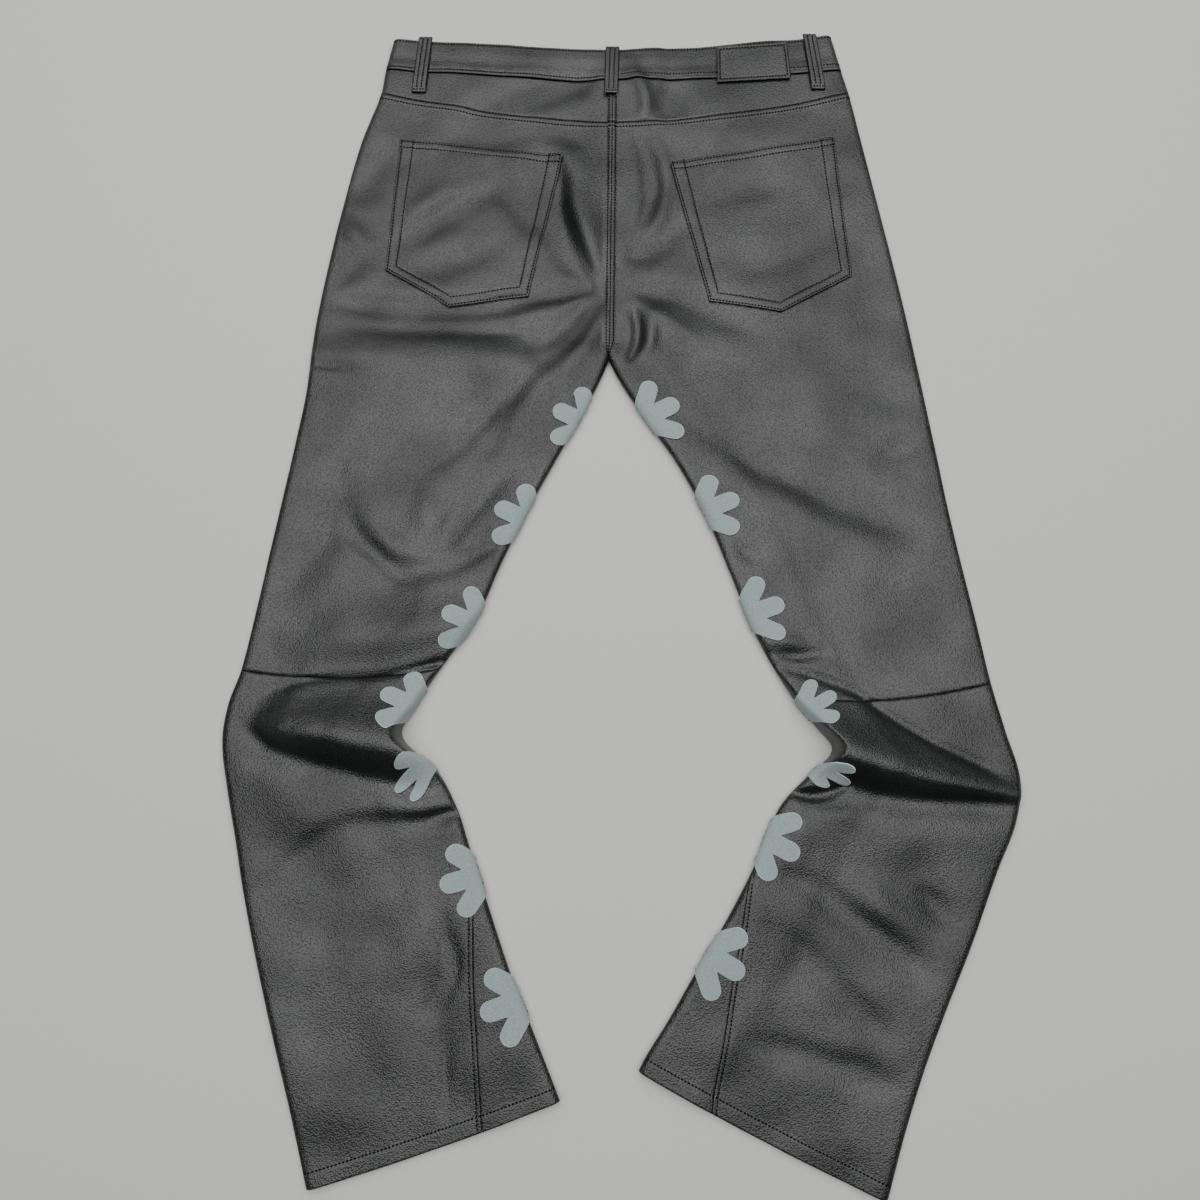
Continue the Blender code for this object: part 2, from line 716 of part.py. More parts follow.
def petals(turn):
    """Outline of three round-ended petals about the point where they meet, as distances across
    the seam and along it."""
    half = math.radians(PETAL_SPREAD / 2)
    notch = PETAL_ROUND / math.sin(half)
    outline = []
    for petal in (-1, 0, 1):
        middle = math.radians(turn + PETAL_SPREAD * petal)
        if petal > -1:
            outline.append((notch * math.cos(middle - half), notch * math.sin(middle - half)))
        for bend in PETAL_BENDS:
            angle = middle + math.radians(bend)
            across = PETAL_REACH * math.cos(middle) + PETAL_ROUND * math.cos(angle)
            outline.append((across, PETAL_REACH * math.sin(middle) + PETAL_ROUND * math.sin(angle)))
    first, last = (math.radians(turn + off) for off in (-PETAL_SPREAD - 90, PETAL_SPREAD + 90))
    ends = [(PETAL_ROUND * math.cos(angle), PETAL_ROUND * math.sin(angle)) for angle in (first, last)]
    return [ends[0], *outline, ends[1]]


def patch_outline(side, patch):
    """The outline of a patch seen from above. It closes beyond the edge of the leg."""
    x, y, turn, shift, length, width, lean = patch
    direction = edge_direction(side, (x, y))
    way = Vector((math.cos(direction), math.sin(direction)))
    hand = 1 if side == "left" else -1
    square = direction - hand * math.radians(90 + lean)
    inward = Vector((math.cos(square), math.sin(square)))
    outline = []
    for across, ahead in petals(turn):
        off = (across + shift) * width - ROLL_ARC + ROLL
        outline.append(tuple(Vector((x, y)) + inward * off + way * ahead * length))
    return outline


def edge_direction(side, centre):
    """Direction of the inner edge where it passes nearest the centre."""
    inner = POINTS[side][1]
    first, last = number(side, "crotch"), number(side, "hem")
    tries = [first + k / 20 for k in range((last - first) * 20 + 1)]
    target = Vector(centre)
    place = min(tries, key=lambda t: (along(inner, t) - target).length)
    reach = 0.4
    ahead = along(inner, min(place + reach, last)) - along(inner, max(place - reach, first))
    return math.atan2(ahead.y, ahead.x)


def skin_row(side, place, depth):
    """The inner margin from the back, round the fold, to the front."""
    whole = span(side, place)
    row = []
    for face, columns in SKIN_COLUMNS.items():
        arcs = panel_columns(side, place, face, whole)[-columns:]
        points = [leather(side, place, arc, face, depth) for arc in arcs]
        row += points if face > 0 else points[::-1]
    return row


def add_petalled_patches(parts, cutters):
    reach = PETAL_REACH + PETAL_ROUND + 4
    for side in SECTIONS:
        all_places = row_places(side, "crotch", "hem")
        inner = POINTS[side][1]
        for count, data in enumerate(PATCHES[side], 1):
            target = Vector(data[:2])
            near = [
                i
                for i, place in enumerate(all_places)
                if (along(inner, place) - target).length < reach
            ]
            rows = all_places[max(near[0] - 1, 0) : near[-1] + 2]
            low = [skin_row(side, place, -PATCH_GAP) for place in rows]
            high = [skin_row(side, place, -PATCH_GAP - PATCH_THICK) for place in rows]
            patch = add_wall(f"petal_patch_{side}_{count}", high, low, "suede", parts)
            cut_to(patch, patch_outline(side, data), cutters)


def cover(grids):
    """A tree of the faces between grids of points, from which heights are read."""
    points, faces = [], []
    for grid in grids:
        columns = len(grid[0])
        start = len(points)
        points += [point for row in grid for point in row]
        for i in range(len(grid) - 1):
            for k in range(start + i * columns, start + (i + 1) * columns - 1):
                faces.append((k, k + columns, k + columns + 1))
                faces.append((k, k + columns + 1, k + 1))
    return BVHTree.FromPolygons(points, faces)


def height_over(tree, x, y, reach):
    """The highest that the faces come within a reach along Y, looking past the seams' gaps."""
    highest = 0.0
    for off_x in (-1, 1):
        for share in (-1, -0.5, 0, 0.5, 1):
            start = Vector((x + off_x, y + share * reach, ABOVE_ALL))
            hit = tree.ray_cast(start, Vector((0, 0, -1)))[0]
            if hit:
                highest = max(highest, hit.z)
    return highest


def waist_cover():
    """The outer faces of the waistband's back and of the yokes."""
    grids = []
    for side in SECTIONS:
        band = row_places(side, "waist_top", "waist_seam")
        grids.append(panel_grid(side, band, 1, 0, BAND_STEP))
        grids.append(panel_grid(side, row_places(side, "waist_seam", "yoke_seam"), 1, 0))
    return cover(grids)


def add_belt_loops(waist, parts):
    for name, line in BACK_LOOPS.items():
        add_loop(f"belt_loop_back_{name}", line, waist, parts)
    for name, line in FRONT_LOOPS.items():
        add_loop(f"belt_loop_front_{name}", line, None, parts)


def add_loop(name, line, waist, parts):
    """A strip over the waistband. A back loop bridges the step down to the yoke, and a front one
    lies on the surface, where it lifts the front."""
    x0, y0, x1, y1 = line
    outer, inner = [], []
    for k in range(LOOP_FACES + 1):
        x, y = mix(x0, x1, k / LOOP_FACES), mix(y0, y1, k / LOOP_FACES)
        low, high = [], []
        for across in (-LOOP_WIDTH / 2, 0, LOOP_WIDTH / 2):
            z = 0.0
            if waist:
                z = height_over(waist, x + across, y, (y0 - y1) / LOOP_FACES) + LOOP_ROOM
            low.append(Vector((x + across, y, z)))
            high.append(Vector((x + across, y, z + LOOP_THICK)))
        inner.append(low)
        outer.append(high)
    add_wall(name, outer, inner, "leather", parts)


def add_waist_patch(waist, parts):
    """A plain label of leather over the waistband, its lower edge just over the yoke."""
    a, b, c, d = (Vector(corner) for corner in WAIST_PATCH)
    outer, inner = [], []
    for i in range(LABEL_ROWS + 1):
        low, high = [], []
        for j in range(LABEL_COLUMNS + 1):
            bottom = a.lerp(b, j / LABEL_COLUMNS)
            top = d.lerp(c, j / LABEL_COLUMNS)
            at = top.lerp(bottom, i / LABEL_ROWS)
            z = height_over(waist, at.x, at.y, (top.y - bottom.y) / LABEL_ROWS) + LOOP_ROOM
            low.append(Vector((at.x, at.y, z)))
            high.append(Vector((at.x, at.y, z + WAIST_PATCH_THICK)))
        inner.append(low)
        outer.append(high)
    add_wall("waist_patch", outer, inner, "leather", parts)


def add_button(parts):
    """The waist button, under the lapped ends of the waistband."""

    def disc(work):
        bmesh.ops.create_cone(
            work,
            cap_ends=True,
            segments=20,
            radius1=BUTTON["radius"] - BUTTON["edge"],
            radius2=BUTTON["radius"],
            depth=BUTTON["thick"],
        )
        place = Vector((BUTTON["x"], BUTTON["y"], BUTTON["thick"] / 2))
        bmesh.ops.translate(work, vec=place, verts=work.verts)

    add_object("waist_button", disc, "metal", parts)


def zip_row(side, place, depth):
    """Half of the zip's tape, from its outer edge to the centre seam, over the front's points."""
    arcs = panel_columns(side, place, -1)[-4:]
    margin, near, *seam = (leather(side, place, arc, -1, depth) for arc in arcs)
    share = (ZIP_HALF - ROLL) / (margin - near).length
    return [near.lerp(margin, share), near, *seam]


def add_fly_zip(parts):
    """The zip's tape, which lies inside over the centre seam of the fronts."""
    sheets = []
    for depth in (WALL + GAP + ZIP_THICK, WALL + GAP):
        left, right = (
            [zip_row(side, place, depth) for place in row_places(side, "waist_seam", "seat")]
            for side in SECTIONS
        )
        sheets.append([a + b[::-1] for a, b in zip(left, right)])
    add_wall("fly_zip", *sheets, "tape", parts)


def main():
    parts, cutters = fresh_scene()
    add_waistband(parts)
    add_yokes_and_backs(parts)
    add_fronts(parts)
    add_godets(parts)
    add_pockets(parts, cutters)
    add_petalled_patches(parts, cutters)
    waist = waist_cover()
    add_belt_loops(waist, parts)
    add_waist_patch(waist, parts)
    add_button(parts)
    add_fly_zip(parts)


main()
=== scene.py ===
# %% [markdown]
# # Black leather trousers, laid flat
#
# A flared pair in the five-pocket style lies on its front, so the back with its two pockets is
# on top. The leather is thin and soft, but it keeps the folds that it was dropped with, above all
# at the knees. This lesson dresses a fixed model of plain solids: it reads where they are, lays
# finer leather over them, and then adds the sewing.

# %% Load the fixed frame
import math

import bpy
import numpy as np
from mathutils import Matrix, Vector
from mathutils.bvhtree import BVHTree


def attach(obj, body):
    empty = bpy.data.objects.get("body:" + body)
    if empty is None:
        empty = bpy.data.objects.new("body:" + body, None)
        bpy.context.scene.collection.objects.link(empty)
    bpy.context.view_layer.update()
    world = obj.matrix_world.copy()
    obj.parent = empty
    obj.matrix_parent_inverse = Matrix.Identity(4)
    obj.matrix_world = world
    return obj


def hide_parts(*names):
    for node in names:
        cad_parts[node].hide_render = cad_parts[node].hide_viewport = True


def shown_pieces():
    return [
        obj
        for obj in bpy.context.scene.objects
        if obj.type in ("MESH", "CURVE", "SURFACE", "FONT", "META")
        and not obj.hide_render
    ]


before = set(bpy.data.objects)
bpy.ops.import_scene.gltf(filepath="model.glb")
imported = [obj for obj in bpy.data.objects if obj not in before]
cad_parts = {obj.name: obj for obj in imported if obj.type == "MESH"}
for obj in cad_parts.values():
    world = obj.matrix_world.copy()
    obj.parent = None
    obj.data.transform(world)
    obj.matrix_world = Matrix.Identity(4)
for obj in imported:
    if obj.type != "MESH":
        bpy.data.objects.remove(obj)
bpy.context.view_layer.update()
MM = 0.001

# %% [markdown]
# ## The cut
#
# A pattern cutter knows a leg by its sections: at each level, where the outseam and the inseam
# run. The table below gives those places on the surface below the trousers, in millimetres, from
# the waist to the hem. Left and right are as seen from above. Bow is how far the middle of the
# section hangs below a straight line, as the waist and the yoke do. An outline could be drawn as
# a curve and filled, but a table of sections also tells how the leather runs across the leg.

# %% Sections of both legs
# At each level the left leg and then the right one: outer x and y, inner x and y, and bow.
SECTIONS = {
    "waist_top": ((-232, 514, -13, 503, 1), (206, 525, -13, 503, 3)),
    "waist_seam": ((-238, 479, -13, 469, 2), (215, 485, -13, 469, 4)),
    "yoke_seam": ((-241, 452, -13, 422, 5), (221, 460, -13, 422, 8)),
    "hip": ((-257, 395, -13, 372, 3), (231, 405, -13, 372, 4)),
    "seat": ((-270, 322, -13, 310, 0), (247, 315, -13, 310, 0)),
    "seat_low": ((-280, 252, -13, 245, 0), (258, 252, -13, 245, 0)),
    "rise_end": ((-285, 208, -13, 192, 0), (265, 208, -13, 192, 0)),
    "crotch": ((-287, 180, -14, 167, 0), (269, 180, -12, 167, 0)),
    "groin": ((-289, 134, -35, 119, 0), (276, 131, 16, 118, 0)),
    "thigh_high": ((-295, 83, -60, 70, 0), (283, 81, 48, 71, 0)),
    "thigh": ((-302, 31, -84, 22, 0), (290, 30, 74, 21, 0)),
    "thigh_low": ((-309, -20, -106, -28, 0), (298, -20, 95, -32, 0)),
    "over_knee": ((-316, -72, -125, -76, 2), (307, -71, 116, -87, 2)),
    "knee_seam": ((-324, -123, -154, -120, 7), (316, -126, 147, -142, 7)),
    "knee_bend": ((-332, -152, -172, -150, 4), (325, -166, 166, -166, 4)),
    "knee": ((-334, -183, -183, -177, 0), (334, -206, 178, -184, 0)),
    "knee_low": ((-326, -222, -153, -204, 0), (328, -240, 155, -207, 0)),
    "shin": ((-315, -264, -134, -236, 0), (309, -281, 132, -232, 0)),
    "godet_top": ((-305, -304, -122, -268, 0), (285, -336, 108, -283, 0)),
    "shin_low": ((-289, -359, -104, -316, 0), (260, -388, 87, -321, 0)),
    "flare": ((-272, -412, -86, -363, 0), (240, -432, 63, -359, 0)),
    "hem_high": ((-253, -468, -65, -410, 0), (222, -478, 40, -397, 0)),
    "hem_turn": ((-240, -509, -49, -446, 2), (210, -513, 22, -424, 2)),
    "hem": ((-236, -522, -44, -457, 3), (206, -525, 16, -435, 3)),
}
SIDES = ("left", "right")
NAMES = list(SECTIONS)
PLACE = {name: place for place, name in enumerate(SECTIONS)}
TABLES = {side: np.array([both[k] for both in SECTIONS.values()], float)
          for k, side in enumerate(SIDES)}
OUTER = {side: TABLES[side][:, :2] for side in SIDES}
INNER = {side: TABLES[side][:, 2:4] for side in SIDES}
BOW = {side: TABLES[side][:, 4] for side in SIDES}

WALL = 1.2  # thickness of the leather
DOUBLE = 2.4  # thickness of a folded strip
GAP = 0.3  # room between two pieces
CENTRE_X = -13  # of the seams in the middle
ROLL = 7  # width of a rolled edge, seen from above
ROLL_ARC = 11  # length of the leather in it
print(len(NAMES), "sections a leg, from", NAMES[0], "to", NAMES[-1])

# %% [markdown]
# ## Reading a smooth line through the sections
#
# A place along the leg is a number: 0 at the waist, 1 at the next section, and so on. A
# Catmull-Rom curve runs smoothly through all the points, and it takes account of how unevenly
# they are spaced. Everything is worked out for whole grids of places at once with numpy.


# %% Lines and soft steps
def mix(a, b, share):
    return a + (b - a) * share


def smooth(low, high, value):
    share = np.clip((value - low) / (high - low), 0, 1)
    return share * share * (3 - 2 * share)


def along(points, place):
    """The point of the line at each place."""
    i = np.clip(np.floor(place).astype(int), 0, len(points) - 2)
    share = (place - i)[..., None]
    before, start = points[np.maximum(i - 1, 0)], points[i]
    end, after = points[i + 1], points[np.minimum(i + 2, len(points) - 1)]

    def apart(p, q):
        return np.linalg.norm(q - p, axis=-1, keepdims=True)

    length = apart(start, end)
    leave = (end - before) * (length / (apart(before, start) + length))
    arrive = (after - start) * (length / (apart(end, after) + length))
    s2, s3 = share**2, share**3
    line = start * (2 * s3 - 3 * s2 + 1) + leave * (s3 - 2 * s2 + share)
    return line + end * (3 * s2 - 2 * s3) + arrive * (s3 - s2)


def section_ends(side, place):
    """Outer and inner end of the section line, with half a seam's room at the inner one."""
    a, b = along(OUTER[side], place), along(INNER[side], place)
    inward = (a - b) / np.linalg.norm(a - b, axis=-1, keepdims=True)
    return a, b + inward * (GAP / 2)


def span(side, place):
    """Length of the leather across the leg, rolled edges included."""
    a, b = section_ends(side, place)
    return np.linalg.norm(a - b, axis=-1) - 2 * ROLL + 2 * ROLL_ARC


def from_above(arc):
    """How far in from a rolled edge a point is seen, by the length of leather to it."""
    share = np.clip(arc / ROLL_ARC, 0, 1)
    return np.where(share < 1, ROLL * (1 - np.cos(share * math.pi / 2)), arc - ROLL_ARC + ROLL)


def below_crotch(place):
    """0 above the crotch, where the inner edge is sewn flat, and 1 below it."""
    return smooth(PLACE["crotch"] - 1, PLACE["crotch"], place)


SAMPLES = np.linspace(0, len(NAMES) - 1, 1200)
LENGTHS = {}
for side in SIDES:
    middle = (along(OUTER[side], SAMPLES) + along(INNER[side], SAMPLES)) / 2
    steps = np.linalg.norm(np.diff(middle, axis=0), axis=1)
    LENGTHS[side] = np.concatenate(([0], np.cumsum(steps)))
    print(side, "leg is", round(LENGTHS[side][-1]), "mm long down the middle")


def place_at(side, length):
    return np.interp(length, LENGTHS[side], SAMPLES)


def length_at(side, place):
    return np.interp(place, SAMPLES, LENGTHS[side])


# %% [markdown]
# ## Folds
#
# Leather folds where it has been sat in or bent: round the knees, under the seat and beside the
# centre seam. Each entry below is one crease, given as points along its line: where each
# point is, how wide the crease is there and how high, in millimetres. A trough has a negative
# height, and most creases start and end at a height of 0. The first number is the lean: at 0.5
# the crease is half as wide again on its left as seen from its first point, because leather
# slumps one way. Sculpting by hand gives such folds too, but numbers can be read and changed.

# %% Creases of the back
CREASES = {
    "knee_left_lip": (0.2, (-300, -100, 14, 0), (-270, -97, 19, 3), (-240, -93, 25, 6.8),
        (-190, -88, 24, 8.2), (-140, -78, 16, 6.6)),
    "knee_left_shadow": (0, (-312, -144, 6, 0), (-290, -138, 5, -1.6), (-268, -132, 4.5, -2.2),
        (-240, -128, 4, -2), (-200, -126, 4, -2.5), (-150, -113, 4, -4), (-126, -105, 5, -5)),
    "knee_left_ridge": (0.3, (-322, -163, 7, 0), (-309, -165, 10, 3), (-297, -168, 14, 9),
        (-280, -172, 20, 16.5), (-240, -178, 25, 23.5), (-205, -184, 26, 24),
        (-180, -188, 26, 23)),
    "knee_left_mound": (-0.55, (-336, -194, 14, 1), (-308, -206, 22, 4), (-280, -217, 27, 6),
        (-240, -227, 28, 6.5), (-200, -234, 22, 6.5), (-166, -236, 15, 5)),
    "knee_left_pinch": (-0.3, (-302, -314, 14, 0), (-284, -300, 14, -1.6), (-252, -271, 13, -2.6),
        (-226, -253, 12, -2.8), (-200, -249, 11, -3), (-165, -247, 8, -4), (-138, -239, 5, -5)),
    "knee_right_valley": (0, (128, -112, 4, -2), (160, -121, 4, -3), (200, -136, 5, -3),
        (225, -154, 5, -3), (262, -177, 5, -3), (300, -195, 5, -3), (324, -208, 5, 0)),
    "knee_right_shoulder": (0, (225, -130, 18, 0), (250, -142, 18, 1.2), (288, -166, 18, 1.6),
        (322, -188, 14, 1)),
    "knee_right_ridge": (0.385, (145, -177, 26, 17), (172, -183, 24.5, 22), (200, -192, 22.2, 23),
        (240, -203, 19.5, 19), (290, -212, 13, 12.5), (315, -217, 9, 7), (333, -221, 6, 3)),
    "knee_right_slot": (0, (134, -214, 3, -2), (150, -221, 4, -6), (168, -221, 4, -7),
        (186, -214, 3.5, -4), (194, -209, 3, 0)),
    "knee_right_slot_lip": (0, (148, -235, 6, 1.5), (172, -236, 7, 2), (198, -234, 7, 0.5)),
    "knee_right_bank": (-0.4, (150, -250, 13, 3.5), (200, -243, 19, 5), (240, -248, 21, 5.5),
        (290, -249, 18, 5), (318, -246, 14, 3)),
    "knee_right_nick": (0, (128, -103, 4, -1), (146, -105, 5, -4.5), (166, -103, 5, -3),
        (182, -101, 5, 0)),
    "knee_right_nick_lip": (0, (122, -94, 4, 1), (142, -92, 5, 2), (162, -95, 5, 0)),
    "seat_trough": (-0.2, (-82, 404, 11, 0), (-76, 372, 15, -3.4), (-71, 340, 15, -4.6),
        (-66, 310, 14, -4.7), (-54, 278, 12, -4.7), (-38, 252, 8, -3.8), (-26, 236, 5, 0)),
    "seat_ridge": (0.4, (-56, 396, 10, 0), (-48, 362, 14, 5), (-43, 328, 16, 8.2),
        (-34, 294, 13, 7.6), (-25, 266, 8, 4), (-19, 250, 4, 0)),
    "seat_crease": (0.2, (8, 416, 7, 0), (17, 394, 9, -3), (24, 368, 10, -4.2),
        (26, 342, 10, -4.2), (20, 318, 9, -3.2), (10, 298, 7, 0)),
    "seat_crease_lip": (0, (28, 410, 7, 0), (36, 380, 8, 2.4), (39, 348, 8, 3.2),
        (33, 318, 8, 2.6), (20, 292, 8, 0)),
    "yoke_bump": (0, (4, 498, 6, 0), (8, 478, 7, 2.4), (18, 456, 8, 4.6), (20, 436, 7, 3.6),
        (14, 422, 6, 0)),
    "yoke_drag": (0, (-24, 478, 10, 0), (-52, 464, 14, -3.6), (-90, 450, 17, -4.6),
        (-130, 436, 17, -3.4), (-162, 422, 14, 0)),
    "pocket_drag": (-0.2, (-224, 276, 9, 0), (-198, 296, 13, -4), (-168, 320, 14, -4.7),
        (-140, 338, 12, -3), (-112, 346, 10, 0)),
    "pocket_drag_lip": (0, (-214, 306, 10, 0), (-182, 332, 12, 2.6), (-150, 352, 11, 0)),
    "hip_bump": (0, (-268, 312, 9, 0), (-254, 294, 10, 3.6), (-240, 276, 9, 0)),
    "hip_drag": (0, (-274, 232, 10, 0), (-252, 240, 10, 1.9), (-226, 262, 9, 0)),
    "under_pocket_trough": (-0.3, (-278, 224, 9, 0), (-235, 222, 11, -4.2), (-190, 221, 12, -4.8),
        (-150, 221, 12, -4.8), (-110, 226, 11, -4.6), (-75, 238, 10, -4.8), (-45, 243, 8, -4.8),
        (-22, 245, 5, 0)),
    "crotch_trough": (0.2, (-274, 200, 9, 0), (-220, 200, 11, -2.8), (-150, 198, 11, -3.4),
        (-112, 198, 9, -2.2), (-90, 200, 8, 0)),
    "crotch_ridge": (0.1, (-14, 232, 4, 0), (-22, 208, 8, 4), (-33, 186, 10, 5.6),
        (-50, 164, 12, 5.6), (-72, 140, 15, 4.5), (-92, 112, 17, 3), (-106, 80, 16, 0)),
    "crotch_trough_low": (0, (-30, 236, 4, 0), (-40, 222, 6, -2.6), (-54, 203, 8, -3.4),
        (-72, 188, 9, -2.6), (-92, 176, 9, 0)),
    "crotch_hollow": (0, (6, 226, 4, 0), (12, 210, 4, -4.8), (13, 190, 4, -5.6),
        (7, 172, 4, -3.2)),
    "crotch_bulge": (0, (22, 224, 5, 0), (26, 205, 6, 3.2), (24, 184, 6, 3.5), (16, 168, 5, 0)),
    "thigh_trough": (-0.3, (-84, 154, 11, 0), (-106, 134, 16, -3.6), (-132, 112, 18, -4.7),
        (-164, 80, 19, -4.7), (-202, 38, 18, 0)),
    "thigh_crescent": (0, (-88, 66, 10, 0), (-118, 46, 13, -4.4), (-140, 18, 12, -4.6),
        (-153, -8, 10, -3.4), (-150, -28, 8, 0)),
    "thigh_bump": (0, (-178, 44, 14, 0), (-172, 18, 15, 2.9), (-176, -8, 13, 0)),
    "thigh_crease": (0, (-244, 30, 8, 0), (-236, 2, 8, -3.2), (-214, -20, 8, -4.2),
        (-192, -38, 8, -2.9), (-172, -46, 8, 0)),
    "thigh_crease_lip": (0, (-226, 24, 10, 0), (-212, 0, 10, 2.6), (-190, -16, 10, 2.2),
        (-165, -26, 9, 0)),
    "thigh_hollow": (0, (-262, 80, 18, 0), (-260, 44, 19, -3.8), (-268, -2, 19, -4.4),
        (-290, -44, 17, -2.6), (-304, -70, 12, 0)),
    "thigh_drag": (0, (-206, -22, 10, 0), (-186, -30, 9, -2), (-160, -32, 9, -3.2),
        (-132, -20, 8, -3.2), (-110, -10, 6, -1.6)),
    "thigh_trough_right": (0, (44, 116, 10, 0), (90, 94, 15, -4), (150, 58, 17, -4.5),
        (215, 26, 17, -3.8), (276, -2, 14, 0)),
    "thigh_ridge_right": (0, (80, 66, 12, 0), (130, 40, 17, 3.2), (190, 2, 19, 3.4),
        (244, -26, 16, 0)),
    "thigh_dent_right": (0, (274, 100, 11, 0), (250, 86, 12, -3.4), (220, 66, 11, 0)),
    "thigh_drag_right": (0, (96, -4, 7, 0), (110, -14, 7, -2.2), (128, -20, 7, 0)),
    "shin_trough_right": (0, (118, -284, 8, 0), (155, -294, 11, -3.5), (192, -322, 12, -4.2),
        (228, -346, 12, -3.5), (256, -368, 10, 0)),
    "shin_ridge_right": (0, (180, -286, 12, 0), (215, -312, 13, 2.9), (250, -338, 12, 0)),
    "shin_low_right": (0, (112, -322, 9, 0), (142, -342, 12, -3.2), (166, -366, 13, -3.8),
        (196, -394, 12, -3.5), (222, -418, 10, 0)),
    "shin_dent_right": (0, (240, -292, 8, 0), (256, -308, 9, -3.5), (272, -328, 8, 0)),
    "flare_trough_right": (0, (92, -410, 8, 0), (140, -420, 11, -3.2), (186, -434, 11, -3.5),
        (226, -448, 10, 0)),
    "flare_trough_left": (0, (-152, -300, 10, 0), (-142, -330, 9, -2.9), (-134, -360, 8, -4.6),
        (-144, -386, 9, -3.5), (-160, -402, 9, 0)),
    "flare_bump": (0, (-170, -318, 12, 0), (-167, -342, 13, 2), (-172, -384, 14, 0)),
    "flare_streak": (0, (-138, -400, 6, 0), (-134, -440, 6, -2.2), (-134, -476, 6, 0)),
    "flare_dent": (0, (-222, -388, 16, 0), (-198, -426, 16, -1.6), (-176, -468, 14, 0)),
    "shin_dent_left": (0, (-262, -318, 18, 0), (-240, -330, 20, -1.4), (-214, -346, 18, 0)),
    "under_pocket_ridge": (0, (-264, 208, 9, 0), (-225, 205, 10, 2), (-150, 204, 10, 2.6),
        (-105, 208, 10, 2.4), (-72, 219, 9, 2.4), (-44, 228, 7, 1.6), (-26, 233, 4, 0)),
    "seat_fold": (-0.2, (-306, 160, 20, 1), (-250, 163, 27, 6.5), (-190, 165, 30, 7.8),
        (-140, 164, 30, 7.8), (-100, 159, 26, 5.6), (-78, 150, 18, 2), (-64, 140, 12, 0)),
    "seat_nick": (0.3, (-304, 162, 4, 0), (-285, 160, 5, -2.6), (-262, 157, 5, -2.4),
        (-236, 154, 6, 0)),
    "yoke_shade": (0, (-186, 394, 14, 0), (-146, 404, 16, -3.4), (-100, 412, 17, -4.4),
        (-60, 408, 15, -3.4), (-30, 394, 12, 0)),
    "pocket_shade": (0.2, (-136, 378, 12, 0), (-118, 352, 14, -3.2), (-100, 324, 14, -3.8),
        (-84, 296, 12, 0)),
    "pocket_low_shade": (0, (-206, 256, 12, 0), (-176, 262, 14, -2.8), (-140, 274, 15, -3),
        (-108, 292, 12, 0)),
    "seat_side_shade": (0, (-262, 326, 12, 0), (-252, 350, 15, -3.2), (-238, 378, 15, -3.2),
        (-224, 404, 12, 0)),
    "right_yoke_shade": (0, (36, 470, 10, 0), (48, 452, 13, -4), (42, 434, 12, -3.4),
        (30, 424, 9, 0)),
    "right_seat_shade": (0, (2, 270, 9, 0), (18, 282, 13, -4), (42, 298, 13, -3.6),
        (56, 322, 10, 0)),
    "right_pocket_shade": (0, (62, 326, 12, 0), (90, 340, 15, -3.2), (122, 350, 15, -3),
        (160, 350, 12, 0)),
    "right_pocket_shade_low": (0, (96, 258, 12, 0), (128, 266, 15, -2.6), (164, 282, 15, -3),
        (196, 306, 12, 0)),
    "crotch_drag": (0, (4, 240, 5, 0), (30, 240, 10, -4.2), (62, 232, 13, -4.6),
        (94, 214, 14, -3.4), (126, 190, 13, 0)),
    "crotch_fan": (0, (8, 232, 4, 0), (34, 214, 8, 3), (60, 196, 10, 2.4), (84, 176, 12, 0)),
}


def drawn_out(creases, step=1.5):
    """Each crease as points a step of mm apart, with their directions."""
    drawn = []
    for lean, *points in creases.values():
        rows = np.array(points, float)
        count = int(np.sum(np.linalg.norm(np.diff(rows[:, :2], axis=0), axis=1)) / step)
        line = along(rows, np.linspace(0, len(rows) - 1, count))
        way = np.gradient(line[:, :2], axis=0)
        way = way / np.linalg.norm(way, axis=1, keepdims=True)
        drawn.append((lean, line, way))
    return drawn


def crease_heights(creases, x, y):
    """What the creases add to a height."""
    x, y = np.broadcast_arrays(x, y)
    total = np.zeros(x.shape)
    for lean, line, way in creases:
        room = 3 * line[:, 2].max() + 3
        near = (x > line[:, 0].min() - room) & (x < line[:, 0].max() + room)
        near &= (y > line[:, 1].min() - room) & (y < line[:, 1].max() + room)
        if not near.any():
            continue
        at = np.stack((x[near], y[near]), axis=-1)
        index = np.argmin(np.sum((at[:, None] - line[None, :, :2]) ** 2, axis=-1), axis=1)
        off = at - line[index, :2]
        ahead = np.sum(off * way[index], axis=-1)
        side = way[index, 0] * off[:, 1] - way[index, 1] * off[:, 0]
        half = line[index, 2] * (1 + lean * np.tanh(side / line[index, 2]))
        past = (side / half) ** 2 + (ahead / line[index, 2]) ** 2
        total[near] += line[index, 3] * np.exp(-past)
    return total


BACK_CREASES = drawn_out(CREASES)
print(len(BACK_CREASES), "creases")

# %% [markdown]
# ## Small unevenness
#
# No hide lies perfectly level. A few long, shallow waves in mixed directions break up the
# reflections, as they do on real leather. They come from a seeded list, so every run is the same.

# %% Waves
WAVE_COUNT = 14
WAVE_HEIGHT = 0.20  # of a wave 70 mm long
rng = np.random.default_rng(7)
WAVES = [  # length in mm, direction and phase
    (rng.uniform(35, 110), rng.uniform(0, math.pi), rng.uniform(0, 2 * math.pi))
    for _ in range(WAVE_COUNT)
]


def waves(x, y):
    total = np.zeros_like(x)
    for length, turn, phase in WAVES:
        way = x * math.cos(turn) + y * math.sin(turn)
        total += np.sin(way * (2 * math.pi / length) + phase) * (length / 70)
    return total * WAVE_HEIGHT


print("waves of", [round(wave[0]) for wave in WAVES], "mm")

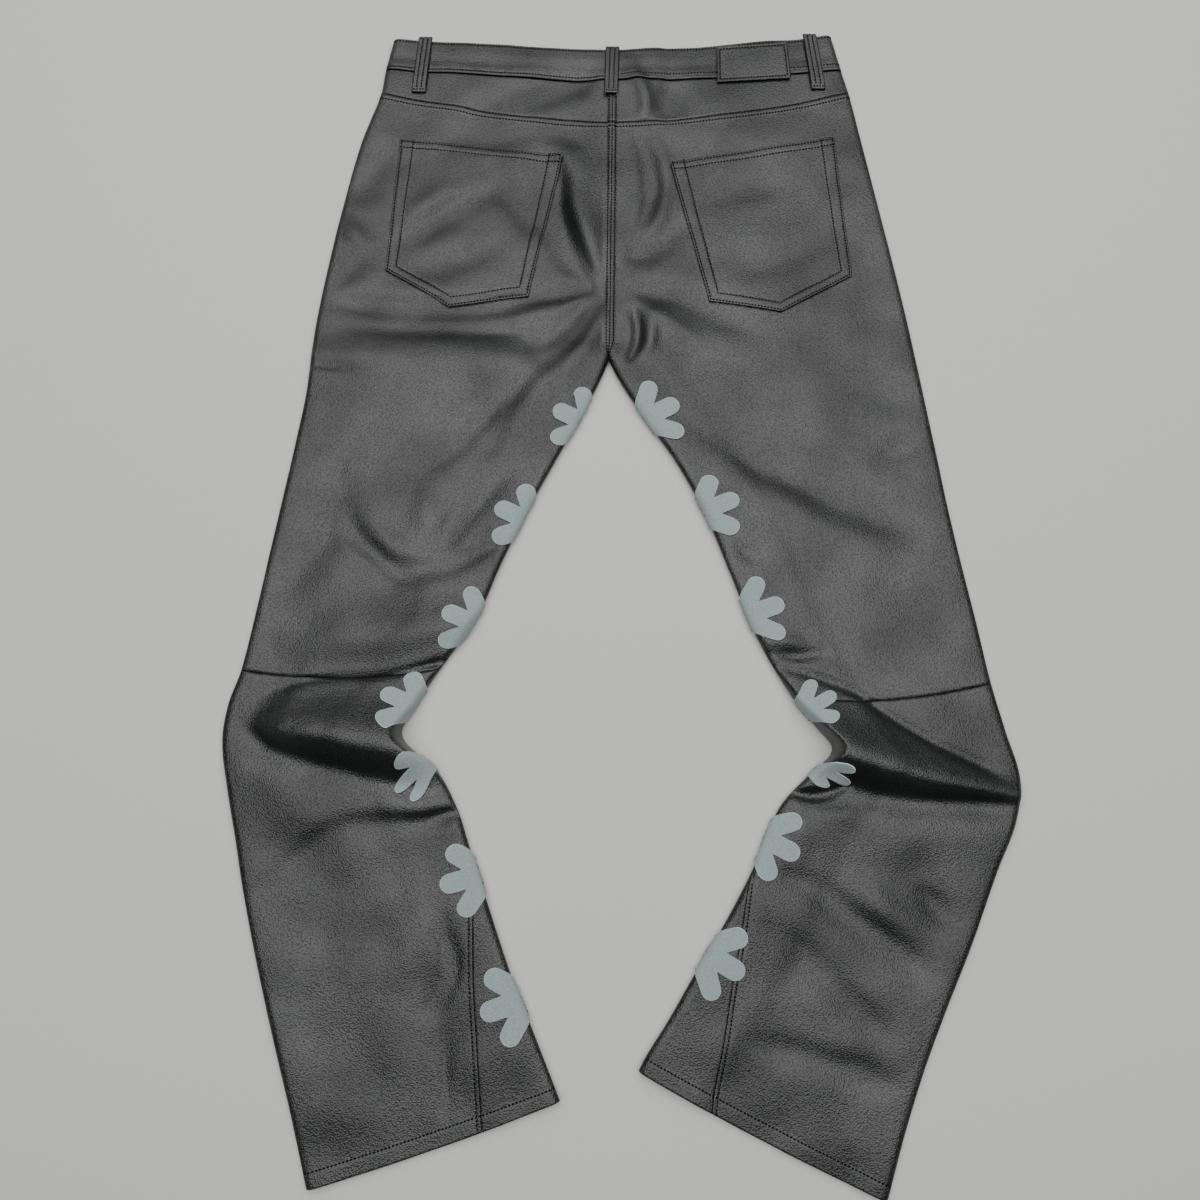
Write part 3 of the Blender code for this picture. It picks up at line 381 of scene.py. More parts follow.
# %% [markdown]
# ## Height of the leather
#
# The front lies on the surface, apart from where the button, the front belt loops or the turned
# patches lift it. The back lies on the front. It stands a little higher beside its rolled edges,
# carries the folds, and never sinks into the front.

# %% Heights of front and back
BASE = 6.2  # of the back, where nothing lifts it
PUFF, PUFF_REACH = 1.5, 20  # extra height beside a rolled edge, and how far in it goes
OUTER_SEAM_Z, INNER_SEAM_Z = 3.7, 4.6  # where the edges of back and front meet
SHEET_LOW = 3.0  # the back stays at least this high over the front
BAND_STEP = 1.4  # of the waistband above the yokes
CLEAR = GAP + 0.05  # room over what lifts a piece
LAP, LAP_LEAD, LAP_RAMP = 40, 28, 14  # width of the fronts' lap, and of the slopes beside it
LAP_HEIGHT = DOUBLE + CLEAR
LAP_RISE = 1.6  # what is left of it in the back
BAND_FOOT = (440, 472)  # y from where to where that rise grows
BUTTON_X, BUTTON_Y, BUTTON_THICK = 8, 486, 2.2
LOOP_THICK = 2.4
PATCH_THICK = 1.0
PATCH_LIFT = 1.55  # of a front that lies on the patches' turned halves
PATCH_MARGIN, PATCH_FADE = 46, 22  # from the inseam
PATCHES_END = (170, 192)  # y above which there are none
LIFTS = {  # centre x and y, half width and half height, and rise
    "button": (BUTTON_X, BUTTON_Y, 16, 16, BUTTON_THICK + CLEAR),
    "front_loop_left": (-128, 478, 34, 46, LOOP_THICK + CLEAR),
    "front_loop_right": (102, 480, 34, 46, LOOP_THICK + CLEAR),
}
LIFT_FADE, LIFT_FADE_BACK = 24, 90  # how far round it the front and the back slope down


def lift(x, y, fade):
    most = np.zeros_like(x)
    for cx, cy, half_x, half_y, height in LIFTS.values():
        past_x = np.maximum(np.abs(x - cx) - half_x, 0)
        past_y = np.maximum(np.abs(y - cy) - half_y, 0)
        most = np.maximum(most, height * (1 - smooth(0, fade, np.hypot(past_x, past_y))))
    return most


def lap(x):
    rise = smooth(CENTRE_X - 2 - LAP_LEAD, CENTRE_X - 2, x)
    return rise * (1 - smooth(CENTRE_X + LAP + 2, CENTRE_X + LAP + 2 + LAP_RAMP, x))


def front_height(x, y, from_inner, fade=LIFT_FADE):
    margin = 1 - smooth(PATCH_MARGIN, PATCH_MARGIN + PATCH_FADE, from_inner)
    return lift(x, y, fade) + PATCH_LIFT * margin * (1 - smooth(*PATCHES_END, y))


def back_height(place, x, y, from_outer, from_inner):
    puff = PUFF * np.exp(-(((from_outer - ROLL) / PUFF_REACH) ** 2))
    inner = PUFF * np.exp(-(((from_inner - ROLL) / PUFF_REACH) ** 2))
    puff = puff + inner * below_crotch(place)
    under = front_height(x, y, from_inner, LIFT_FADE_BACK)
    over_lap = LAP_RISE * lap(x) * smooth(*BAND_FOOT, y)
    spare = BASE + puff + crease_heights(BACK_CREASES, x, y) + waves(x, y) + over_lap - SHEET_LOW
    return SHEET_LOW + under + 0.5 * (spare + np.sqrt(spare**2 + 1))


print("back leather lies", BASE, "mm up, before its folds")

# %% [markdown]
# ## From height to points
#
# A panel's points are told by two numbers: the place along the leg and the arc, the length of
# leather from the outseam. Both edges roll down in a quarter circle and meet the other panel at
# the seam. Cloth that is laid out like this keeps its true width in the flat pattern.


# %% A point of the leather
STEEPEST = 2.2  # a slope thickens what stands off the face by this factor at most


def leather(side, place, arc, face, relief=0.0, out=0.0, over=0.0, down=GAP):
    """Points of one leg. Arc is the length of leather from the outseam and face is 1 on the back
    and -1 on the front. Relief adds to the height, out stands off the leather's outer face, over
    carries an edge past the centre, and down is how far the front's edge is below the back's."""
    a, b = section_ends(side, place)
    width = np.linalg.norm(a - b, axis=-1)
    across = (b - a) / width[..., None]
    whole = width - 2 * ROLL + 2 * ROLL_ARC
    bow = np.interp(place, range(len(NAMES)), BOW[side])

    def at(reach):
        share = reach / width
        point = a + across * reach[..., None]
        return point[..., 0], point[..., 1] - 4 * bow * share * (1 - share)

    outer_roll = np.clip(arc / ROLL_ARC, 0, 1)
    inner_roll = np.clip((whole - arc) / ROLL_ARC, 0, 1)
    level = np.clip(ROLL + arc - ROLL_ARC, ROLL, width - ROLL)

    def face_height(x, y):
        if face > 0:
            return back_height(place, x, y, level, width - level)
        return front_height(x, y, width - level)

    x, y = at(level)
    height = face_height(x, y)
    slope_x, slope_y = face_height(x + 1, y) - height, face_height(x, y + 1) - height
    steep = np.minimum(np.sqrt(1 + slope_x**2 + slope_y**2), STEEPEST)
    flat_z = height + face * (out * steep + relief)
    low = down if face < 0 else 0

    def rolled(share, seam_z):
        angle = share * math.pi / 2
        inside = -out + (ROLL + out) * (1 - np.cos(angle))
        return inside, seam_z - low + (flat_z - seam_z + low) * np.sin(angle)

    outer_in, outer_z = rolled(outer_roll, OUTER_SEAM_Z)
    inner_in, inner_z = rolled(inner_roll, INNER_SEAM_Z)
    hold = below_crotch(place)
    open_in = ROLL * (1 - np.cos(inner_roll * math.pi / 2))
    inner_in = mix(open_in, inner_in, hold) - over * (1 - inner_roll) * (1 - hold)
    reach = np.where(outer_roll < 1, outer_in, np.where(inner_roll < 1, width - inner_in, level))
    z = np.where(outer_roll < 1, outer_z, flat_z)
    z = np.where(inner_roll < 1, mix(flat_z, inner_z, hold), z)
    x, y = at(reach)
    return np.stack(np.broadcast_arrays(x, y, z), axis=-1)


print("left hip is", round(span("left", np.array([3.0]))[0]), "mm of leather wide")

# %% [markdown]
# ## Materials
#
# The leather is a corrected-grain hide: its surface is pressed with a pebble grain and finished
# with a thin pigmented film, which gives a soft, broad sheen. The flower patches are suede, the
# flesh side of a split hide brushed to a nap, so they scatter light and show no highlight.
# Both could be painted images. Noise and cells at real sizes are used instead, because they stay
# sharp from any distance. One function turns a colour that a designer would write into the
# linear values of a shader, and one adds a node with its settings and links.


# %% Helpers for materials
def linear(colour):
    """An sRGB hex colour as linear red, green, blue and alpha."""
    parts = [int(colour[i : i + 2], 16) / 255 for i in (1, 3, 5)]
    return [v / 12.92 if v <= 0.04045 else ((v + 0.055) / 1.055) ** 2.4 for v in parts] + [1]


def add_node(tree, kind, settings=None, links=None, **values):
    """Adds a node. Settings are its properties, values its inputs, links their sources."""
    made = tree.nodes.new(kind)
    for name, value in (settings or {}).items():
        setattr(made, name, value)
    for name, value in values.items():
        made.inputs[name.replace("_", " ")].default_value = value
    for name, source in (links or {}).items():
        tree.links.new(source, made.inputs[name])
    return made


def new_material(name, **values):
    """A material, its nodes and its shader, with the values that are the same all over it."""
    made = bpy.data.materials.new(name)
    made.use_nodes = True
    shader = made.node_tree.nodes["Principled BSDF"]
    for key, value in values.items():
        shader.inputs[key.replace("_", " ")].default_value = value
    return made, made.node_tree, shader


def feed(tree, shader, sources):
    """Links what changes over the surface to the shader."""
    for name, source in sources.items():
        tree.links.new(source, shader.inputs[name])


COLOUR = {"data_type": "RGBA"}
print("thread's black is", [round(v, 4) for v in linear("#050505")])

# %% Pebble-grained leather
# Satin black: broad soft highlights that fine pebbles break up, cloudier where it was handled.
GRAIN = 1.35  # mm from pebble to pebble; the real one is finer than a render shows
GRAIN_DEPTH = 0.36  # mm
GRAIN_BEND = 1.2  # mm that pebbles are pushed out of their places
CLOUDS = 14.0  # per metre: soft patches of about 70 mm
BENDS = 420.0  # per metre: one about every second pebble
ROUGH = 0.33
LEATHER, tree, shader = new_material("corrected_grain_leather")
where = add_node(tree, "ShaderNodeTexCoord").outputs["Object"]
at_place = {"Vector": where}
cloudy = add_node(tree, "ShaderNodeTexNoise", None, at_place, Scale=CLOUDS, Detail=4.0)
cloudy = cloudy.outputs["Fac"]
black = {"A": linear("#0d0e0f"), "B": linear("#151616")}
tone = add_node(tree, "ShaderNodeMix", COLOUR, {"Factor": cloudy}, **black)
polish = {"To_Min": ROUGH - 0.06, "To_Max": ROUGH + 0.08}
polish = add_node(tree, "ShaderNodeMapRange", None, {"Value": cloudy}, **polish)
warp = add_node(tree, "ShaderNodeTexNoise", None, at_place, Scale=BENDS, Detail=1.0)
push = {0: warp.outputs["Color"], 2: where}
bent = add_node(tree, "ShaderNodeVectorMath", {"operation": "MULTIPLY_ADD"}, push)
bent.inputs[1].default_value = (GRAIN_BEND * MM,) * 3
cells = {"Vector": bent.outputs["Vector"]}
pebbles = add_node(tree, "ShaderNodeTexVoronoi", None, cells, Scale=1 / (GRAIN * MM))
pebbles = pebbles.outputs["Distance"]
# Painted shade in the valleys between the pebbles: their reflection is turned down there to stand
# in for the shade that falls into them, so the pebble tops look brighter.
painted_valley_shade = {"From_Min": 0.15, "From_Max": 0.75, "To_Min": 0.78, "To_Max": 0.40}
painted_valley_shade = add_node(tree, "ShaderNodeMapRange", None, {"Value": pebbles}, **painted_valley_shade)
worn = {"From_Min": 0.38, "From_Max": 0.62, "To_Min": 0.80, "To_Max": 1.12}
worn = add_node(tree, "ShaderNodeMapRange", None, {"Value": cloudy}, **worn)
both = {0: painted_valley_shade.outputs["Result"], 1: worn.outputs["Result"]}
# Reflection: the painted valley shade times the random soft clouds.
specular_with_valley_shade = add_node(tree, "ShaderNodeMath", {"operation": "MULTIPLY"}, both)
depth = {"Strength": 0.85, "Distance": GRAIN_DEPTH * MM}
bump = add_node(tree, "ShaderNodeBump", {"invert": True}, {"Height": pebbles}, **depth)
sources = {
    "Base Color": tone.outputs["Result"],
    "Roughness": polish.outputs["Result"],
    "Specular IOR Level": specular_with_valley_shade.outputs["Value"],
    "Normal": bump.outputs["Normal"],
}
feed(tree, shader, sources)
print("leather grain of", GRAIN, "mm")

# %% Suede
# Brushed nap: matt and mottled, pale grey-green, and lighter at its rim, partly the paler cut edge
# and partly a painted highlight where the edge catches the light.
NAP = 700.0  # per metre: tufts of 1.4 mm, coarser than the real ones so that they show
NAP_DEPTH = 0.2  # mm
SUEDE, tree, shader = new_material(
    "brushed_split_suede", Roughness=0.92, Specular_IOR_Level=0.25, Sheen_Weight=0.25
)
at_place = {"Vector": add_node(tree, "ShaderNodeTexCoord").outputs["Object"]}
nap = add_node(tree, "ShaderNodeTexNoise", None, at_place, Scale=NAP, Detail=3.0).outputs["Fac"]
pale = {"A": linear("#6a7777"), "B": linear("#939f9e")}
tone = add_node(tree, "ShaderNodeMix", COLOUR, {"Factor": nap}, **pale)
rim = add_node(tree, "ShaderNodeAttribute", {"attribute_name": "rim"}).outputs["Fac"]
over_rim = {"Factor": rim, "A": tone.outputs["Result"]}
# The rim's pale grey is in part a painted highlight.
edge = add_node(tree, "ShaderNodeMix", COLOUR, over_rim, B=linear("#c0cac9"))
depth = {"Strength": 0.4, "Distance": NAP_DEPTH * MM}
bump = add_node(tree, "ShaderNodeBump", None, {"Height": nap}, **depth)
feed(tree, shader, {"Base Color": edge.outputs["Result"], "Normal": bump.outputs["Normal"]})

# %% Thread, metal and tape
# The thread is a smooth black cord, dull and darker than the leather. Its stitches are wider than
# real thread, so their black also stands in as painted shade for the groove that the thread sinks
# into.
THREAD_AND_GROOVE_SHADE = new_material(
    "black_thread_and_groove_shade", Roughness=0.7, Specular_IOR_Level=0.1, Base_Color=linear("#050505")
)[0]
# Tumbled zinc gives a soft grey gloss.
METAL = new_material(
    "plated_zinc_button", Roughness=0.35, Metallic=1.0, Base_Color=linear("#8a8680")
)[0]
# Woven tape is matt and near black.
TAPE = new_material("woven_zip_tape", Roughness=0.85, Base_Color=linear("#1c1c1d"))[0]
print("materials:", len(bpy.data.materials))

# %% [markdown]
# ## From a grid to a piece of leather
#
# Each panel starts as a flat grid primitive. Its points are moved onto the leg with the functions
# above, then Solidify gives the leather its thickness, inward, so that the outer face stays where
# it is. The grid is finer near its edges, where the leather turns in at a seam. A hem is a real
# turn: the rows run over the edge and back inside. A cloth simulation could lay the panels too,
# but it would not leave the folds where these trousers have them.

# %% Rows and columns of a panel
CLOSE = np.array([0, 0.5, 1.1, 1.8, 2.6, 3.5, 4.5, 5.6, 6.8, 8.2, 9.6, 11.0, 12.6])
STEP = 3.0  # mm between rows, away from the edges
TURN = 12  # width of leather that is turned inside at a hem


def spaced(length, step=STEP):
    """Distances from 0 to a length, closer together near both ends."""
    count = max(int((length - 2 * CLOSE[-1]) / step), 1)
    middle = np.linspace(CLOSE[-1], length - CLOSE[-1], count + 1)[1:-1]
    return np.concatenate((CLOSE, middle, length - CLOSE[::-1]))


def leg_rows(side, first, last, turn=None, step=STEP):
    """Distances along the leg of a panel's rows, and how deep inside each row lies."""
    start, end = length_at(side, PLACE[first]), length_at(side, PLACE[last])
    lead = WALL if turn == "top" else GAP / 2
    tail = WALL if turn == "hem" else GAP / 2
    rows = start + lead + spaced(end - start - lead - tail, step)
    deep = np.zeros_like(rows)
    if turn:
        angles = np.linspace(0, math.pi, 7)[1:]
        back = (-2.0, -5.0, -8.5, -TURN)  # rows of the leather that lies inside
        ahead = np.concatenate((WALL * np.sin(angles), back))
        inside = np.concatenate((WALL * (1 - np.cos(angles)), np.full(len(back), 2 * WALL)))
        if turn == "hem":
            rows = np.concatenate((rows, rows[-1] + ahead))
            deep = np.concatenate((deep, inside))
        else:
            rows = np.concatenate(((rows[0] - ahead)[::-1], rows))
            deep = np.concatenate((inside[::-1], deep))
    return rows, deep


def leg_columns(ends, step=STEP):
    """Arcs of the columns of each row, from the outseam to where the row ends."""
    count = max(int((ends.max() - 2 * CLOSE[-1]) / step), 1)
    shares = np.linspace(0, 1, count + 1)[1:-1]
    middle = CLOSE[-1] + (ends[:, None] - 2 * CLOSE[-1]) * shares
    first = np.repeat(CLOSE[None], len(ends), axis=0)
    return np.concatenate((first, middle, ends[:, None] - CLOSE[::-1]), axis=1)


print("points across 200 mm of leather:", len(spaced(200)))


# %% Making a piece
def move_points(obj, points, chosen, face=1):
    """Moves the vertices to points in mm. The chosen faces then point up where face is 1."""
    mesh = obj.data
    mesh.vertices.foreach_set("co", (points * MM).astype(np.float32).ravel())
    mesh.update()
    normals = np.zeros(len(mesh.polygons) * 3, np.float32)
    mesh.polygons.foreach_get("normal", normals)
    if np.median(normals.reshape(-1, 3)[chosen, 2]) * face < 0:
        mesh.flip_normals()


def finish_piece(obj, material, thick):
    """Gives a piece its material and its thickness."""
    obj.data.materials.append(material)
    obj.data.shade_smooth()
    wall = obj.modifiers.new("wall", "SOLIDIFY")
    wall.thickness = thick * MM
    wall.offset = -1
    bpy.context.view_layer.objects.active = obj
    bpy.ops.object.modifier_apply(modifier="wall")
    return obj


def leather_piece(name, points, face, thick=WALL):
    """Leather from rows and columns of points in mm. Its first half faces up where face is 1."""
    rows, columns = points.shape[:2]
    bpy.ops.object.select_all(action="DESELECT")
    bpy.ops.mesh.primitive_grid_add(x_subdivisions=columns - 1, y_subdivisions=rows - 1)
    obj = bpy.context.object
    obj.name = obj.data.name = f"cloth_{name}"
    first_half = np.tile(np.arange(columns - 1) < columns // 2, rows - 1)
    move_points(obj, points, first_half, face)
    return finish_piece(obj, LEATHER, thick)


def triangles(piece):
    return sum(len(face.vertices) - 2 for face in piece.data.polygons)


def dress(piece, flat, area=None, slot="leather"):
    """The piece rides on the trousers and stands for the solid of its name; its size laid flat is
    printed.
    """
    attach(piece, "root")
    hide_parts(piece.name.removeprefix("cloth_"))
    area = (flat[0] * flat[1] if area is None else area) * MM * MM
    flat = (flat[0] * MM, flat[1] * MM)
    print(f"{piece.name:28} {triangles(piece):7} triangles, {flat[0]:.3f} x {flat[1]:.3f} m")


# %% [markdown]
# ## Relief of seams
#
# Where two pieces of leather are sewn, their edges dip into the seam, the allowances inside hold
# them up a little, and each stitched row pulls a groove. These shapes are added to the height, as
# functions of the distance from the edge in millimetres.


# %% Dips, grooves and rises
def dip(distance, deep=0.8, half=0.9):
    return -deep * np.exp(-((distance / half) ** 2))


def groove(distance, at, deep=0.4, half=0.8):
    return -deep * np.exp(-(((distance - at) / half) ** 2))


def raised(distance, end, rise):
    return rise * (1 - smooth(end - 0.6, end + 0.6, distance))


def puckers(along_it, distance, low, high, rise, pitch=5.5):
    """Small ridges that thread pulls across a seam, uneven in height."""
    there = smooth(low - 1, low + 1, distance) * (1 - smooth(high - 1, high + 2, distance))
    uneven = 0.6 + 0.4 * np.sin(along_it / 17.0 + 1.3) * np.sin(along_it / 7.3)
    return rise * uneven * np.sin(along_it * 2 * math.pi / pitch) * there


STRIP_OVER = 4.0  # the right back laps over the left one by this much
STRIP_WIDE = 7.6
STRIP_RISE = 1.9
STRIP_ROWS = (1.2, 4.6, 7.9)  # stitched rows, from the lapped edge


def centre_strip(side, place, centre):
    """Relief of the lapped seam at the centre of the back."""
    if side == "left":
        return dip(centre, 0.3, 3) * (1 - below_crotch(place))
    from_edge = from_above(centre) + STRIP_OVER * np.clip(centre / ROLL_ARC, 0, 1)
    relief = raised(from_edge, STRIP_WIDE, STRIP_RISE) + dip(from_edge, 0.5, 0.8)
    for at in STRIP_ROWS:
        relief += groove(from_edge, at, 0.8, 0.9)
    return relief * (1 - below_crotch(place))


print("a seam dips", round(-dip(0.0), 2), "mm")

# %% [markdown]
# ## Waistband
#
# The waistband is a folded strip. It stands a step above the yokes, its top edge is a fold, and
# rows of stitches run just below the top and just above the bottom. The back is one strip from
# side to side, and the two fronts lap at the button. A bent box could stand for it, but rows of
# the leg's own points join the yokes without a step at the sides.

# %% Waistband, back and fronts
BAND_ROWS = (2.4, 31.5)  # stitched rows, from the top edge
FRONT_BAND_STEP = 4.0


def band_grid(side, face, step):
    """Rows, places, arcs, relief and out of one side's strip."""
    rows, deep = leg_rows("left", "waist_top", "waist_seam", "top", step)
    places = place_at("left", rows)[:, None]
    arcs = leg_columns(span(side, places[:, 0]), step)
    top, bottom = rows - rows.min(), length_at("left", PLACE["waist_seam"]) - rows
    relief = groove(top, BAND_ROWS[0]) + groove(bottom, 3.6) + dip(bottom, 0.5, 0.8)
    relief += groove(top, 21, 0.5, 4) + groove(top, 12, -0.3, 6)
    relief = np.where(deep == 0, relief, 0)[:, None]
    relief = relief + BAND_STEP if face > 0 else np.minimum(relief, 0)
    return rows, places, arcs, relief, -deep[:, None]


halves = {}
for side in SIDES:
    rows, places, arcs, relief, out = band_grid(side, 1, STEP)
    halves[side] = leather(side, places, arcs, 1, relief, out)
band = np.concatenate((halves["left"][:, :-1], halves["right"][:, -2::-1]), axis=1)
waistband = leather_piece("waistband_back", band, 1)
band_wide = sum(span(side, np.array([0.5]))[0] for side in SIDES)
band_high = np.ptp(rows) + TURN
dress(waistband, (band_wide, band_high))

for side in SIDES:
    rows, places, arcs, relief, out = band_grid(side, -1, FRONT_BAND_STEP)
    front = leather(side, places, arcs, -1, relief, out)
    if side == "right":
        front[..., 2] += LAP_HEIGHT * lap(front[..., 0])
    else:
        reach = np.arange(2, LAP + 2, 3.0)[None]
        right_arcs = span("right", places[:, 0])[:, None] - reach
        under = leather("right", places, right_arcs, -1, relief, out)
        front = np.concatenate((front[:, :-1], under), axis=1)
    wide = arcs[:, -1].max() + (LAP if side == "left" else 0)
    dress(leather_piece(f"waistband_front_{side}", front, -1), (wide, band_high))

# %% [markdown]
# ## Yokes, thighs and calves of the back
#
# The back of each leg is cut in three: a yoke under the waistband, a thigh down to the knee and a
# calf down to the hem. The thigh is lapped over the yoke and sewn with two rows. At the centre
# the right side is lapped over the left one. Below the knee a godet takes some of the width.

# %% Any panel of a leg
GODET_TOP, GODET_HEM = 1, 67  # half width of a godet at both ends


def godet_width(side, place):
    """How far the godet reaches from the inseam, on the back and on the front alike."""
    top, hem = PLACE["godet_top"], PLACE["hem"]
    steps = np.linalg.norm(np.diff(INNER[side][top : hem + 1], axis=0), axis=1)
    so_far = np.interp(place, range(top, hem + 1), np.concatenate(([0], np.cumsum(steps))))
    return np.where(place < top, 0, mix(GODET_TOP, GODET_HEM, so_far / steps.sum()))


def cut_size(rows, widths):
    """Width and height, and then area, of a panel that is laid flat."""
    steps = np.abs(np.diff(rows))
    return (widths.max(), steps.sum()), np.sum(steps * (widths[1:] + widths[:-1]) / 2)


def panel(name, side, first, last, relief_of, turn=None, face=1, step=STEP):
    """A panel from one section of the leg to another, as wide as the godet leaves it."""
    rows, deep = leg_rows(side, first, last, turn, step)
    places = place_at(side, rows)
    godet = godet_width(side, places)
    ends = span(side, places) - godet - np.where(godet > 0, GAP / 2, 0)
    arcs = leg_columns(ends, step)
    from_top = (rows - length_at(side, PLACE[first]))[:, None]
    from_low = (length_at(side, PLACE[last]) - rows)[:, None]
    places, deep = places[:, None], deep[:, None]
    relief = relief_of(side, places, from_top, from_low, ends[:, None] - arcs)
    relief = np.where(deep == 0, relief, 0)
    over = STRIP_OVER if side == "right" and face > 0 else 0
    points = leather(side, places, arcs, face, relief, -deep, over)
    piece = leather_piece(f"{name}_{side}", points, face)
    dress(piece, *cut_size(rows, ends))
    return piece


print("godet at the hem:", 2 * GODET_HEM, "mm")

# %% Panels of the back
THIGH_LAP = 6.8  # mm that the thigh laps over the yoke
YOKE_ROWS = (1.4, 6.0)
GODET_ROW = 3.6  # from the godet's seam to its row of stitches
HEM_ROW = TURN - 0.6


def yoke_relief(side, place, top, bottom, inner):
    return dip(top, 0.4) + dip(bottom) + centre_strip(side, place, inner)


def thigh_relief(side, place, top, bottom, inner):
    lapped = raised(top, THIGH_LAP, 1.1)
    lapped = lapped + groove(top, YOKE_ROWS[0], 0.4) + groove(top, YOKE_ROWS[1], 0.6)
    near_centre = 1 - smooth(60, 190, inner)
    small = puckers(inner, top, 0.5, 6.5, 0.22) * (0.3 + near_centre)
    strip = centre_strip(side, place, inner)
    return dip(top) + dip(bottom, 1.0, 1.3) + lapped + small + strip


def hem_relief(distance):
    return raised(distance, TURN, 0.55) + groove(distance, HEM_ROW, 0.45)


def calf_relief(side, place, top, bottom, inner):
    beside_godet = dip(inner, 0.35, 0.6) + groove(inner, GODET_ROW, 0.5, 0.7)
    beside_godet = beside_godet * (godet_width(side, place) > 0)
    return dip(top, 1.0, 1.3) + hem_relief(bottom) + beside_godet


YOKES = {}
for side in SIDES:
    YOKES[side] = panel("yoke", side, "waist_seam", "yoke_seam", yoke_relief)
    panel("back_thigh", side, "yoke_seam", "knee_seam", thigh_relief)
    panel("back_calf", side, "knee_seam", "hem", calf_relief, "hem")

# %% [markdown]
# ## Fronts
#
# Nothing of the fronts shows from above but the rolled edges. They are whole from waistband to
# hem and lie flat on the surface, so their seams only dip inwards.

# %% Panels of the front
FRONT_STEP = 5.0


def front_relief(side, place, top, bottom, inner):
    relief = dip(top - top[0], 0.6) + groove(bottom, TURN, 0.4)
    return relief + dip(inner, 0.5) + groove(inner, 2.2, 0.2)


for side in SIDES:
    panel("front", side, "waist_seam", "hem", front_relief, "hem", -1, FRONT_STEP)

# %% [markdown]
# ## Godets
#
# A godet is a wedge that widens the hem. This one wraps round the inseam from the back to the
# front, and it narrows to a point below the knee. Its columns are closest at the seams and at
# the fold.

# %% Both godets
GODET_POINTS = 32  # across each half
for side in SIDES:
    rows, deep = leg_rows(side, "godet_top", "hem", "hem")
    rows, deep = rows[1:], deep[1:, None]
    places = place_at(side, rows)
    wide = (godet_width(side, places) - GAP / 2)[:, None]
    reach = wide * (1 - np.cos(np.linspace(0, 1, GODET_POINTS) * math.pi)) / 2
    arcs = span(side, places)[:, None] - reach
    relief = dip(wide - reach, 0.35, 0.6) * (wide > 4)
    relief = relief + hem_relief((length_at(side, PLACE["hem"]) - rows)[:, None])
    relief = np.where(deep == 0, relief, 0)
    back = leather(side, places[:, None], arcs, 1, relief, -deep)
    front = leather(side, places[:, None], arcs, -1, np.minimum(relief, 0), -deep)
    points = np.concatenate((back[:, ::-1], front[:, 1:]), axis=1)
    dress(leather_piece(f"godet_{side}", points, 1), *cut_size(rows, 2 * wide[:, 0]))

# %% [markdown]
# ## Laying a piece on what is already there
#
# Pockets, loops and labels are cut flat and sewn on. Their height comes from a ray that is cast
# straight down onto the panels, so that each of them follows the folds that it lies on. A
# Shrinkwrap modifier does the same, but it gives no height to plan a stiff strip with.

# %% Rays onto finished pieces
CEILING = 90  # mm, above all that lies here


def tree_of(pieces):
    """A search tree of all the faces of some pieces, in mm."""
    points, faces, start = [], [], 0
    for piece in pieces:
        count = len(piece.data.vertices)
        co = np.zeros(count * 3, np.float32)
        piece.data.vertices.foreach_get("co", co)
        points += (co.reshape(-1, 3) / MM).tolist()
        faces += [[v + start for v in face.vertices] for face in piece.data.polygons]
        start += count
    return BVHTree.FromPolygons(points, faces)


def drop(tree, x, y, sign=1):
    """Place and normal of what an upright ray meets, from above or, with sign -1, from below."""
    return tree.ray_cast(Vector((x, y, CEILING * sign)), Vector((0, 0, -sign)))[:2]


def heights_over(tree, flat):
    """Height of the surface under each point of a flat grid, where there is any."""
    hits = [drop(tree, x, y)[0] for x, y in flat.reshape(-1, 2)]
    return np.array([hit.z if hit else np.nan for hit in hits]).reshape(flat.shape[:2])


def smooth_leg(side):
    """The back of a leg without its seams, to lay pieces on."""
    rows = np.arange(0, length_at(side, PLACE["crotch"]), 2.5)
    places = place_at(side, rows)
    arcs = leg_columns(span(side, places), 2.5)
    points = leather(side, places[:, None], arcs, 1)
    index = np.arange(arcs.size).reshape(arcs.shape)
    faces = np.stack((index[:-1, :-1], index[1:, :-1], index[1:, 1:], index[:-1, 1:]), axis=-1)
    return BVHTree.FromPolygons(points.reshape(-1, 3).tolist(), faces.reshape(-1, 4).tolist())


LEG_TREES = {side: smooth_leg(side) for side in SIDES}
print("left seat is", round(drop(LEG_TREES["left"], -150, 300)[0].z, 1), "mm high")

# %% [markdown]
# ## Back pockets
#
# A patch pocket is a pentagon with its edges turned under, so its border is doubled and stands
# higher up to the inner row of stitches. The opening has a hem with two rows. The pocket could
# be pressed into the thigh as relief, but only a piece of its own has a real cut edge.

# %% Lines on a flat piece
# Corners of each pocket: inner top, outer top, outer low, tip and inner low.
POCKETS = {
    "left": ((-60, 384), (-218, 399), (-224, 258), (-163, 222), (-89, 234)),
    "right": ((44, 377), (203, 407), (214, 258), (147, 220), (80, 231)),
}
POCKET_THICK = 1.3
POCKET_CLEAR = 0.1  # room under it
POCKET_SIDE = (13.0, 9.5)  # from the side to the inner row, at the top and at the bottom
POCKET_LOW = 8.8  # from the bottom edges to the inner row
POCKET_HEM = (2.0, 8.0)  # stitched rows, from the opening
POCKET_EDGE_ROW = 1.9
FINE = 2.2  # mm between the points of a sewn-on piece


def toward(a, b, distance):
    return a + (b - a) * (distance / np.linalg.norm(b - a))


def line_distance(points, a, b):
    """Distance to the left of the line from a to b, as seen from above."""
    way = (b - a) / np.linalg.norm(b - a)
    off = points - a
    return way[0] * off[..., 1] - way[1] * off[..., 0]


